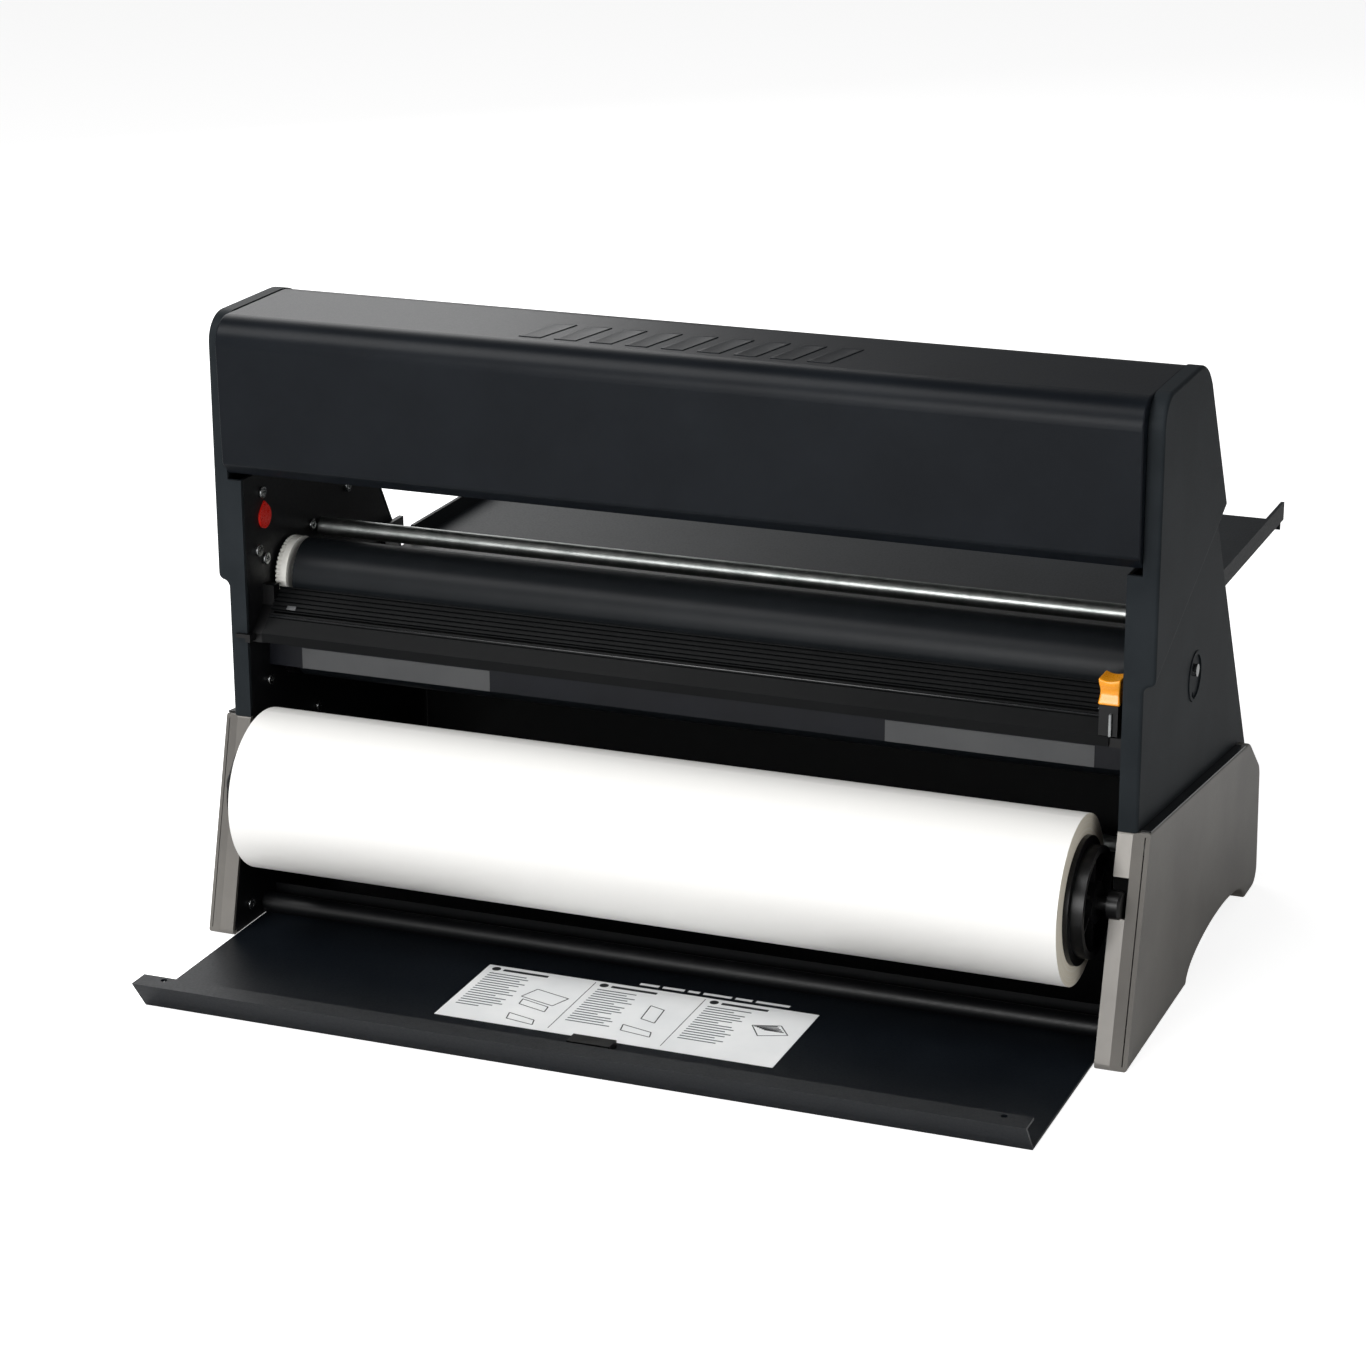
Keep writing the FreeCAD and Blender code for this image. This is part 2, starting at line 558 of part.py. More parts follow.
def hood():
    half_hood = rounded_beyond(prism(HOOD_OUTLINE, 0, HOOD_HALF_WIDTH), HOOD_HALF_WIDTH - FIT_GAP,
                               HOOD_EDGE_ROUND)
    shell = fused([half_hood, mirrored(half_hood)])
    inner = HOOD_HALF_WIDTH - HOOD_WALL
    shell = shell.cut(prism(HOOD_OUTLINE, -inner, inner, HOOD_WALL))
    rear = rear_depth(HOOD_BOTTOM) - HOOD_SETBACK
    mouth_front = HOOD_FRONT_LOW + HOOD_LIP + HOOD_WALL
    shell = shell.cut(box(-inner, inner, mouth_front, rear - 2 * HOOD_WALL, HOOD_BOTTOM - 1,
                          HOOD_BOTTOM + 2 * HOOD_WALL))
    pieces = [shell]
    half = HINGE_KNUCKLE / 2
    for place in HINGE_PLACES:
        web = box(place - half, place + half, rear - HOOD_WALL, HINGE_DEPTH, HINGE_HEIGHT + 1,
                  HOOD_BOTTOM + 2)
        web = web.cut(bar(place - half - 1, place + half + 1, HINGE_DEPTH, HINGE_HEIGHT,
                          HINGE_PIN_RADIUS + RUNNING_GAP))
        pieces += [web, knuckle(place, HINGE_KNUCKLE, HINGE_PIN_RADIUS + RUNNING_GAP)]
    return fused(pieces)


save("hood", hood())


def rear_rail():
    """Channel under the hood's rear edge that carries the hood's hinges."""
    top = HINGE_HEIGHT - HINGE_RADIUS - 1
    depth = HINGE_DEPTH - 2
    end = PLATE_IN - FIT_GAP
    rail = box(-end, end, depth - 16, depth, top - 16, top)
    rail = rail.cut(box(-end - 1, end + 1, depth - 14, depth - 2, top - 17, top - 2))
    pieces = [rail]
    lug = HINGE_KNUCKLE / 2
    offset = HINGE_KNUCKLE / 2 + FIT_GAP + lug / 2
    for place in HINGE_PLACES:
        for centre in (place - offset, place + offset):
            web = box(centre - lug / 2, centre + lug / 2, depth - 3, depth + 2, top - 1, HINGE_HEIGHT - 1)
            web = web.cut(bar(centre - lug, centre + lug, HINGE_DEPTH, HINGE_HEIGHT, HINGE_PIN_RADIUS))
            pieces += [web, knuckle(centre, lug, HINGE_PIN_RADIUS)]
    return fused(pieces)


save("rear_rail", rear_rail())
pin_half = HINGE_KNUCKLE + FIT_GAP
hood_pins = [bar(place - pin_half, place + pin_half, HINGE_DEPTH, HINGE_HEIGHT,
                 HINGE_PIN_RADIUS) for place in HINGE_PLACES]
save("hood_hinge_pins", Part.makeCompound(hood_pins))


# ---- supply rolls -----------------------------------------------------------------------
plug_end = ROLL_END + PLUG_FLANGE_WIDTH + PLUG_STEP_WIDTH


def core_plug(depth, height):
    """Plug in the right end of a core, open outwards with ribs between rim and hub."""
    flange_end = ROLL_END + PLUG_FLANGE_WIDTH
    step_end = flange_end + PLUG_STEP_WIDTH
    plug = fused([
        bar(ROLL_END - PLUG_SPIGOT_LENGTH, ROLL_END, depth, height, CORE_BORE_RADIUS),
        bar(ROLL_END, flange_end, depth, height, PLUG_FLANGE_RADIUS),
        bar(flange_end, step_end, depth, height, PLUG_STEP_RADIUS),
    ])
    recess = tube(ROLL_END, step_end + 1, depth, height, PLUG_STEP_RADIUS - PLUG_RIM, PLUG_HUB_RADIUS)
    for index in range(PLUG_RIBS):
        rib = Part.makeBox(PLUG_STEP_WIDTH + 2, 3, PLUG_STEP_RADIUS,
                           V(ROLL_END - 1, y_of(depth) - 1.5, height))
        rib.rotate(V(0, y_of(depth), height), V(1, 0, 0), 360 / PLUG_RIBS * index)
        recess = recess.cut(rib)
    return plug.cut(recess).cut(bar(0, step_end + 1, depth, height, AXLE_RADIUS + RUNNING_GAP))


def is_end_ring(edge, end):
    """Whether an edge is a circle at either end of a bar that is twice end long."""
    return edge.Curve.TypeId == "Part::GeomCircle" and abs(abs(edge.BoundBox.Center.x) - end) < FIT_GAP


def save_supply_roll(name, radius, depth, height, axle_end):
    save(name + "_film", tube(-ROLL_END, ROLL_END, depth, height, radius, CORE_RADIUS))
    save(name + "_core", tube(-ROLL_END, ROLL_END, depth, height, CORE_RADIUS, CORE_BORE_RADIUS))
    save(name + "_plugs", both_sides(core_plug(depth, height)))
    axle = bar(-axle_end, axle_end, depth, height, AXLE_RADIUS)
    neck = tube(plug_end, PLATE_IN + FIT_GAP, depth, height, AXLE_RADIUS + 1, AXLE_NECK_RADIUS)
    axle = axle.cut(both_sides(neck))
    save(name + "_axle", axle.makeChamfer(1.5,
                                          [edge for edge in axle.Edges if is_end_ring(edge, axle_end)]))


save_supply_roll("lower_roll", LOWER_ROLL_RADIUS, LOWER_ROLL_DEPTH, LOWER_ROLL_HEIGHT,
                 PLATE_IN + AXLE_OVERHANG)
save_supply_roll("upper_roll", UPPER_ROLL_RADIUS, UPPER_ROLL_DEPTH, UPPER_ROLL_HEIGHT,
                 HOOD_HALF_WIDTH - HOOD_WALL - 2 * FIT_GAP)


# ---- laminating rollers and crank ----------------------------------------------------------
def gear(height, first_tooth):
    """Spur gear on a roller shaft, in the left cover; first_tooth is a tooth's angle in degrees."""
    module = NIP_CENTRES / GEAR_TEETH
    pitch = 2 * math.pi / GEAR_TEETH
    root = NIP_CENTRES / 2 - 1.25 * module
    tip = NIP_CENTRES / 2 + 0.9 * module
    x0 = -PLATE_OUT - GEAR_GAP - GEAR_WIDTH
    points = []
    for tooth in range(GEAR_TEETH):
        middle = math.radians(first_tooth) + tooth * pitch
        for radius, share in ((root, -0.30), (tip, -0.11), (tip, 0.11), (root, 0.30)):
            angle = middle + share * pitch
            points.append(V(x0, y_of(NIP_DEPTH) + radius * math.cos(angle),
                            height + radius * math.sin(angle)))
    blank = Part.Face(Part.makePolygon(points + points[:1])).extrude(V(GEAR_WIDTH, 0, 0))
    return blank.cut(bar(x0 - 1, x0 + GEAR_WIDTH + 1, NIP_DEPTH, height, SHAFT_RADIUS))


collar_end = PLATE_IN - BUSH_FLANGE - COLLAR_GAP
collar_start = collar_end - COLLAR_WIDTH
rubber_left = collar_start - COLLAR_NECK
rubber_right = collar_end - 2 * BUSH_FLANGE
crank_plane = FACE_LOW + BUSH_FLANGE + 2.5     # X of the crank hub's inner face
neck_start = crank_plane + CRANK_HUB_WIDTH
arm_end = neck_start + CRANK_ARM_THICKNESS
gear_end = PLATE_OUT + GEAR_GAP + GEAR_WIDTH
for name, height, shaft_left, first_tooth in (
    ("upper", NIP_UPPER_HEIGHT, gear_end, -90 + 180 / GEAR_TEETH),
    ("lower", NIP_LOWER_HEIGHT, arm_end, 90),
):
    save(name + "_roller_shaft", bar(-shaft_left, PLATE_OUT + 2, NIP_DEPTH, height, SHAFT_RADIUS))
    save(name + "_roller_rubber", tube(-rubber_left, rubber_right, NIP_DEPTH, height, ROLLER_RADIUS,
                                       SHAFT_RADIUS))
    collar = tube(-collar_end, -collar_start, NIP_DEPTH, height, ROLLER_RADIUS, SHAFT_RADIUS)
    save(name + "_roller_collar", collar)
    save(name + "_drive_gear", gear(height, first_tooth))


def roller_bush(height):
    bush = fused([
        bar(PLATE_IN - BUSH_FLANGE, PLATE_IN, NIP_DEPTH, height, BUSH_FLANGE_RADIUS),
        bar(PLATE_IN, PLATE_OUT, NIP_DEPTH, height, BUSH_RADIUS),
    ])
    return bush.cut(bar(PLATE_IN - 5, PLATE_OUT + 5, NIP_DEPTH, height, SHAFT_RADIUS + RUNNING_GAP))


crank_bush = fused([
    bar(FACE_LOW - COVER_WALL, FACE_LOW, NIP_DEPTH, NIP_LOWER_HEIGHT, BUSH_RADIUS),
    bar(FACE_LOW, FACE_LOW + BUSH_FLANGE, NIP_DEPTH, NIP_LOWER_HEIGHT, BUSH_FLANGE_RADIUS),
])
crank_bush = crank_bush.cut(bar(PLATE_OUT, COVER_OUT, NIP_DEPTH, NIP_LOWER_HEIGHT,
                                SHAFT_RADIUS + RUNNING_GAP))
save("roller_bushes", Part.makeCompound([
    both_sides(roller_bush(NIP_UPPER_HEIGHT)),
    both_sides(roller_bush(NIP_LOWER_HEIGHT)),
    mirrored(crank_bush),
]))

grip_depth = NIP_DEPTH + CRANK_RADIUS
half_arm = CRANK_ARM_WIDTH / 2
crank_arm = fused([
    bar(crank_plane, neck_start, NIP_DEPTH, NIP_LOWER_HEIGHT, CRANK_HUB_RADIUS),
    box(neck_start, arm_end, NIP_DEPTH, grip_depth, NIP_LOWER_HEIGHT - half_arm,
        NIP_LOWER_HEIGHT + half_arm),
    bar(neck_start, arm_end, NIP_DEPTH, NIP_LOWER_HEIGHT, CRANK_HUB_RADIUS),
    bar(neck_start, arm_end, grip_depth, NIP_LOWER_HEIGHT, half_arm),
])
crank_arm = crank_arm.cut(bar(crank_plane - 1, arm_end + 1, NIP_DEPTH, NIP_LOWER_HEIGHT, SHAFT_RADIUS))
crank_arm = crank_arm.cut(bar(neck_start - 1, arm_end + 1, grip_depth, NIP_LOWER_HEIGHT, CRANK_PIN_RADIUS))
save("crank_arm", mirrored(crank_arm))
grip_start = arm_end + 2
grip_end = grip_start + CRANK_GRIP_LENGTH
grip_pin = fused([
    bar(neck_start, grip_end, grip_depth, NIP_LOWER_HEIGHT, CRANK_PIN_RADIUS),
    bar(grip_end, grip_end + 2, grip_depth, NIP_LOWER_HEIGHT, CRANK_PIN_RADIUS + 3),
])
save("crank_grip_pin", mirrored(grip_pin))
grip = tube(grip_start, grip_end - FIT_GAP, grip_depth, NIP_LOWER_HEIGHT, CRANK_GRIP_RADIUS,
            CRANK_PIN_RADIUS + RUNNING_GAP)
rims = [edge for edge in grip.Edges if edge.Curve.TypeId == "Part::GeomCircle"]
grip = grip.makeFillet(4.0, [rim for rim in rims if rim.Curve.Radius > CRANK_PIN_RADIUS + 1])
save("crank_grip", mirrored(grip))


# ---- bars and screws between the plates ------------------------------------------------------
def tie_bar(depth, height, radius, end):
    solid = bar(-end, end, depth, height, radius)
    for x in (-end - 1, end - SCREW_LENGTH):
        solid = solid.cut(bar(x, x + SCREW_LENGTH + 1, depth, height, SCREW_RADIUS))
    return solid


def idler_bar(depth, height):
    """Free-turning bar with a bore in each end for its pins."""
    end = PLATE_IN - 2 * FIT_GAP
    solid = bar(-end, end, depth, height, IDLER_RADIUS)
    for x in (-end - 1, end - IDLER_PIN_LENGTH):
        solid = solid.cut(bar(x, x + IDLER_PIN_LENGTH + 1, depth, height, IDLER_PIN_RADIUS + RUNNING_GAP))
    return solid


def idler_pin(depth, height):
    start = PLATE_IN - IDLER_PIN_LENGTH + 1
    pin = bar(start, PLATE_OUT, depth, height, IDLER_PIN_RADIUS)
    return pin.fuse(bar(PLATE_OUT, PLATE_OUT + 3, depth, height, IDLER_PIN_RADIUS + 3)).removeSplitter()


save("upper_idler_bar", idler_bar(*UPPER_IDLER))
save("lower_idler_bar", idler_bar(*LOWER_IDLER))
save("idler_pins",
     Part.makeCompound([both_sides(idler_pin(*UPPER_IDLER)), both_sides(idler_pin(*LOWER_IDLER))]))
save("tie_bars", Part.makeCompound([
    tie_bar(*place, TIE_RADIUS, PLATE_IN) for place in (MIDDLE_TIE, REAR_TIE, HEAD_TIE)
]))


def bar_bolt(depth, height, end):
    """Bolt from outside the right plate into the end of a bar."""
    head = bar(PLATE_OUT, PLATE_OUT + 3, depth, height, SCREW_HEAD_RADIUS)
    return head.fuse(bar(end - SCREW_LENGTH, PLATE_OUT, depth, height, SCREW_RADIUS)).removeSplitter()


save("bar_bolts", Part.makeCompound([
    both_sides(bar_bolt(*MIDDLE_TIE, PLATE_IN)),
    both_sides(bar_bolt(*REAR_TIE, PLATE_IN)),
    both_sides(bar_bolt(*HEAD_TIE, PLATE_IN)),
]))


def plate_screw(place):
    head = bar(PLATE_IN - SCREW_HEAD_HEIGHT, PLATE_IN, place[0], place[1], SCREW_HEAD_RADIUS)
    shank = bar(PLATE_IN, PLATE_IN + SCREW_LENGTH, place[0], place[1], SCREW_RADIUS)
    return head.fuse(shank).removeSplitter()


save("plate_screws",
     Part.makeCompound([both_sides(plate_screw(place)) for place in UPPER_SCREWS + LOWER_SCREWS]))

boss_face = FACE_LOW - 1.5
boss = fused([
    tube(boss_face, FACE_LOW + 0.8, *BOSS, BOSS_RADIUS - FIT_GAP, BOSS_RADIUS - 3),
    bar(boss_face, FACE_LOW - 0.5, *BOSS, BOSS_RADIUS - FIT_GAP),
])
boss = boss.cut(bar(FACE_LOW - 1.2, FACE_LOW + 2, *BOSS_PLUG, SCREW_RADIUS))
save("side_boss", boss)
save("boss_bolt", bar(FACE_LOW - 0.5, FACE_LOW + 3, *BOSS_BOLT, SCREW_HEAD_RADIUS))

DROP = (78.0, 311.5, 9.0)      # depth, height and radius of the drop's round part
DROP_TIP = 12.0                # its tip above the round part's middle
DROP_THICKNESS = 1.5
tangent_rise = DROP[2] ** 2 / DROP_TIP
tangent_run = DROP[2] * math.sqrt(1 - (DROP[2] / DROP_TIP) ** 2)
drop_start = PLATE_IN - DROP_THICKNESS
drop_tip = prism(
    (
        (DROP[0] - tangent_run, DROP[1] + tangent_rise, 0.0),
        (DROP[0], DROP[1] + DROP_TIP, 0.0),
        (DROP[0] + tangent_run, DROP[1] + tangent_rise, 0.0),
    ),
    drop_start,
    PLATE_IN,
)
drop_round = bar(drop_start, PLATE_IN, *DROP)
save("red_drop", mirrored(fused([drop_round, drop_tip])))

# ---- door ---------------------------------------------------------------------------------
tube_end = PLATE_IN - 2 * FIT_GAP
save("door_hinge_tube", tube(-tube_end, tube_end, DOOR_HINGE_DEPTH, DOOR_HINGE_HEIGHT, DOOR_TUBE_RADIUS,
                             DOOR_PIN_RADIUS + RUNNING_GAP))
pin_start = DOOR_HALF_WIDTH - 20
save("door_hinge_pins", both_sides(bar(pin_start, PLATE_OUT, DOOR_HINGE_DEPTH, DOOR_HINGE_HEIGHT,
                                       DOOR_PIN_RADIUS)))


def door():
    path = (
        (DOOR_HINGE_DEPTH, DOOR_CLEAR),
        (DOOR_BEND, DOOR_CLEAR),
        (DOOR_LIP_FRONT, DOOR_LIP_HEIGHT),
        (DOOR_LIP_FRONT + DOOR_LIP_RETURN, DOOR_LIP_HEIGHT),
    )
    sheet = bent_sheet(path[::-1], DOOR_SHEET, -DOOR_HALF_WIDTH, DOOR_HALF_WIDTH)
    holes = [bar(-DOOR_HALF_WIDTH - 1, DOOR_HALF_WIDTH + 1, DOOR_HINGE_DEPTH, DOOR_HINGE_HEIGHT,
                 DOOR_TUBE_RADIUS)]
    for x in (-DOOR_HALF_WIDTH + 19, DOOR_HALF_WIDTH - 19):
        centre = V(x, y_of(DOOR_LIP_FRONT + 13.5), DOOR_LIP_HEIGHT - 5)
        holes.append(Part.makeCylinder(2.5, 10, centre))
    return max(sheet.cut(Part.makeCompound(holes)).Solids, key=lambda solid: solid.Volume)


save("door", door())
door_top = DOOR_CLEAR + DOOR_SHEET
save("door_label", box(-LABEL_WIDTH / 2, LABEL_WIDTH / 2, LABEL_FRONT, LABEL_FRONT + LABEL_DEPTH,
                       door_top, door_top + LABEL_THICKNESS))
CATCH_LEFT = -18.0
CATCH_FRONT = -100.0
CATCH_SIZE = (33.0, 13.0, 5.0)
save("door_catch", box(CATCH_LEFT, CATCH_LEFT + CATCH_SIZE[0], CATCH_FRONT, CATCH_FRONT + CATCH_SIZE[1],
                       door_top, door_top + CATCH_SIZE[2]))


# ---- cutter rail, exit plate, carriage, knob and blade ------------------------------------------
TABLE_RUN = TABLE_REAR_DEPTH - TABLE_FRONT_DEPTH
TABLE_RISE = TABLE_REAR_HEIGHT - TABLE_FRONT_HEIGHT
TABLE_LENGTH = math.hypot(TABLE_RUN, TABLE_RISE)
TABLE_ANGLE = math.degrees(math.atan2(TABLE_RISE, TABLE_RUN))


def rail_height(depth):
    """Height of the cutter rail's top face at a depth."""
    return TABLE_FRONT_HEIGHT + (depth - TABLE_FRONT_DEPTH) * TABLE_RISE / TABLE_RUN


def slope_box(x0, x1, down0, down1, z0, z1):
    """Box in the rail's own frame: down0 and down1 are distances down the slope from its rear edge."""
    shape = Part.makeBox(x1 - x0, down1 - down0, z1 - z0, V(x0, -down1, z0))
    shape.rotate(V(0, 0, 0), V(1, 0, 0), TABLE_ANGLE)
    shape.translate(V(0, y_of(TABLE_REAR_DEPTH), TABLE_REAR_HEIGHT))
    return shape


def cutter_rail():
    half = TABLE_HALF_WIDTH
    slab = slope_box(-half, half, 0, TABLE_LENGTH, -TABLE_THICKNESS, 0)
    apron = box(-half, half, TABLE_FRONT_DEPTH, TABLE_FRONT_DEPTH + APRON_THICKNESS, APRON_BOTTOM,
                TABLE_FRONT_HEIGHT)
    slot_end = half - SLOT_MARGIN
    cuts = [
        slope_box(-half - 1, half + 1, CHANNEL_PLACE - CHANNEL_WIDTH / 2, CHANNEL_PLACE + CHANNEL_WIDTH / 2,
                  -CHANNEL_DEPTH, 1),
        slope_box(-slot_end, slot_end, CHANNEL_PLACE - SLOT_WIDTH / 2, CHANNEL_PLACE + SLOT_WIDTH / 2,
                  -TABLE_THICKNESS - 1, 1),
        slope_box(-half - 1, half + 1, CHANNEL_PLACE + CHANNEL_WIDTH / 2 + 1.5,
                  CHANNEL_PLACE + CHANNEL_WIDTH / 2 + 2.3,
                  -0.6, 1),
    ]
    cuts.append(slope_box(-half - 1, half + 1, *RECESS_PLACES, -RECESS_DEPTH, 1))
    for index in range(RIB_COUNT):
        start = 1.0 + index * RIB_PITCH
        cuts.append(slope_box(-half - 1, half + 1, start, start + RIB_PITCH / 2, -RIB_DEPTH, 1))
    return fused([slab, apron]).cut(Part.makeCompound(cuts))


save("cutter_rail", cutter_rail())
bracket = prism(
    (
        (TABLE_FRONT_DEPTH + 2, APRON_BOTTOM - 1, 0.0),
        (TABLE_REAR_DEPTH - 1, rail_height(TABLE_REAR_DEPTH) - 10, 0.0),
        (TABLE_REAR_DEPTH - 1, rail_height(TABLE_REAR_DEPTH - 1) - 4, 0.0),
        (TABLE_FRONT_DEPTH + 2, rail_height(TABLE_FRONT_DEPTH + 2) - 3, 0.0),
    ),
    TABLE_HALF_WIDTH,
    PLATE_IN,
)
BRACKET_BLOCK_REAR = 79.0
block = box(PLATE_IN - TABLE_END_ROOM, PLATE_IN, TABLE_FRONT_DEPTH + 22, BRACKET_BLOCK_REAR,
            rail_height(TABLE_FRONT_DEPTH + 2), TABLE_REAR_HEIGHT + 3)
HOOK_LOW = 226.0
HOOK_HIGH = 229.0
hook = fused([
    box(PLATE_IN - 4, PLATE_IN, PANEL_FRONT - 3.6, TABLE_FRONT_DEPTH + 3, HOOK_LOW - 3, HOOK_HIGH - 1),
    box(PLATE_IN - 4, PLATE_IN + 8, PANEL_FRONT - 3.6, PANEL_FRONT - FIT_GAP, HOOK_LOW, HOOK_HIGH),
])
save("rail_brackets", Part.makeCompound([fused([bracket, block]), mirrored(fused([bracket, block, hook]))]))

exit_path = (EXIT_PLATE_TOP, (EXIT_PLATE_DEPTH, EXIT_PLATE_BEND), (EXIT_PLATE_DEPTH, EXIT_PLATE_BOTTOM))
save("exit_plate", bent_sheet(exit_path, DOOR_SHEET, -PLATE_IN, PLATE_IN))
strips = []
for x0, x1 in ((28.0 - PLATE_IN, 184.0 - PLATE_IN), (PLATE_IN - 182.0, PLATE_IN - 27.5)):
    strips.append(box(x0, x1, EXIT_PLATE_DEPTH - LABEL_THICKNESS, EXIT_PLATE_DEPTH,
                      EXIT_PLATE_BOTTOM, EXIT_PLATE_BEND - 0.5))
save("exit_labels", Part.makeCompound(strips))

carriage_in = CARRIAGE_CENTRE - CARRIAGE_WIDTH / 2
carriage_out = CARRIAGE_CENTRE + CARRIAGE_WIDTH / 2
SHOE_GAP = 0.4
carriage = fused([
    prism(
        (
            (CARRIAGE_FRONT, rail_height(CARRIAGE_FRONT) + SHOE_GAP * 1.2, 0.0),
            (CARRIAGE_REAR, rail_height(CARRIAGE_REAR) + SHOE_GAP * 1.2, 0.0),
            (CARRIAGE_REAR, CARRIAGE_TOP, 0.0),
            (CARRIAGE_FRONT, CARRIAGE_TOP, 0.0),
        ),
        carriage_in + KNOB_SIDE_GAP,
        carriage_out - KNOB_SIDE_GAP,
    ),
    slope_box(carriage_in + 2, carriage_out - 2, CHANNEL_PLACE - CHANNEL_WIDTH / 2 + SHOE_GAP,
              CHANNEL_PLACE + CHANNEL_WIDTH / 2 - SHOE_GAP, -CHANNEL_DEPTH + SHOE_GAP, 3),
])
blade = slope_box(BLADE_CENTRE - BLADE_WIDTH / 2, BLADE_CENTRE + BLADE_WIDTH / 2,
                  CHANNEL_PLACE - BLADE_THICKNESS / 2,
                  CHANNEL_PLACE + BLADE_THICKNESS / 2, -TABLE_THICKNESS - 5, 2)
save("cutter_carriage", carriage.cut(blade))
save("cutter_blade", blade)
PIN_RADIUS = 1.3
save("cutter_pin", Part.makeCylinder(PIN_RADIUS, 16,
                                     V(carriage_out - 6, y_of(CARRIAGE_FRONT - PIN_RADIUS), 230)))

knob_top = CARRIAGE_TOP + KNOB_HEIGHT
knob = box(carriage_in, carriage_out, CARRIAGE_FRONT, CARRIAGE_REAR, CARRIAGE_TOP, knob_top)
saddle_radius = 14.0
saddle = Part.makeCylinder(saddle_radius, CARRIAGE_REAR - CARRIAGE_FRONT + 4,
                           V(CARRIAGE_CENTRE, y_of(CARRIAGE_FRONT - 2),
                             knob_top + saddle_radius - 2.5), V(0, 1, 0))
waist_radius = 14.0
knob_cuts = [saddle]
for depth in (CARRIAGE_FRONT - waist_radius + 3.0, CARRIAGE_REAR + waist_radius - 3.0):
    knob_cuts.append(bar(carriage_in - 1, carriage_out + 1, depth, CARRIAGE_TOP + KNOB_HEIGHT * 0.45,
                         waist_radius))
save("cutter_knob", knob.cut(Part.makeCompound(knob_cuts)))

# ---- infeed table, tray, pan and rear panel -----------------------------------------------------
infeed_path = ((INFEED_REAR, INFEED_TOP - 12), (INFEED_REAR, INFEED_TOP), (INFEED_FRONT, INFEED_TOP),
               (INFEED_FRONT - 10, INFEED_TOP - 4))
save("infeed_table", bent_sheet(infeed_path, SHEET, -TRAY_HALF_WIDTH, TRAY_HALF_WIDTH))
infeed_bracket = fused([
    box(TRAY_HALF_WIDTH - 16, PLATE_IN, INFEED_REAR - 58, INFEED_REAR - 22, INFEED_TOP - SHEET - 3,
        INFEED_TOP - SHEET),
    box(PLATE_IN - 3, PLATE_IN, INFEED_REAR - 58, INFEED_REAR - 22, INFEED_TOP - SHEET - 20,
        INFEED_TOP - SHEET),
])


def feed_tray():
    half = TRAY_HALF_WIDTH
    front = TRAY_PIVOT_DEPTH - 5
    floor = box(-half, half, TRAY_PIVOT_DEPTH + 1, TRAY_FLOOR_END, TRAY_FLOOR_TOP - SHEET, TRAY_FLOOR_TOP)
    rear_lip = box(-half, half, TRAY_FLOOR_END - SHEET, TRAY_FLOOR_END, TRAY_FLOOR_TOP - 8, TRAY_FLOOR_TOP)
    pieces = [floor, rear_lip]
    for x0 in (-half, half - TRAY_WALL):
        wall = box(x0, x0 + TRAY_WALL, front, TRAY_WALL_END, TRAY_WALL_BOTTOM, TRAY_WALL_TOP)
        pieces.append(wall)
    tray = fused(pieces)
    hole = bar(-half - 1, half + 1, TRAY_PIVOT_DEPTH, TRAY_PIVOT_HEIGHT, TRAY_PIN_RADIUS + RUNNING_GAP)
    return tray.cut(hole)


save("feed_tray", feed_tray())
save("tray_pins", both_sides(bar(TRAY_HALF_WIDTH - 5, PLATE_IN - 4, TRAY_PIVOT_DEPTH, TRAY_PIVOT_HEIGHT,
                                 TRAY_PIN_RADIUS)))
tray_bracket = box(PLATE_IN - 4, PLATE_IN, TRAY_PIVOT_DEPTH - 26, TRAY_PIVOT_DEPTH + 8,
                   TRAY_PIVOT_HEIGHT - 8, TRAY_PIVOT_HEIGHT + 11)
tray_bracket = tray_bracket.cut(bar(PLATE_IN - 5, PLATE_IN + 1, TRAY_PIVOT_DEPTH, TRAY_PIVOT_HEIGHT,
                                    TRAY_PIN_RADIUS))
save("table_brackets", both_sides(Part.makeCompound([infeed_bracket, tray_bracket])))

pan_start = BASE_DEPTH / 2 - PAN_LENGTH / 2
pan_path = ((pan_start, PAN_FLANGE), (pan_start, 0), (pan_start + PAN_LENGTH, 0),
            (pan_start + PAN_LENGTH, PAN_FLANGE))
save("base_pan", bent_sheet(pan_path, SHEET, -PLATE_IN + FIT_GAP, PLATE_IN - FIT_GAP))
panel_inset = 6.0
rear_path = (
    (REAR_PANEL_DEPTH, 6.0),
    (REAR_PANEL_DEPTH, 135.0),
    (rear_depth(REAR_PANEL_TOP) - panel_inset - 4, REAR_PANEL_TOP),
)
save("rear_panel", bent_sheet(rear_path, SHEET, -PLATE_IN + FIT_GAP, PLATE_IN - FIT_GAP))
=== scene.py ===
"""Looks of a cold roll laminator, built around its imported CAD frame."""
import logging
import math
from dataclasses import dataclass, field
from enum import Enum
from typing import Callable, Iterable, Sequence

import bmesh
import bpy
from mathutils import Matrix, Vector


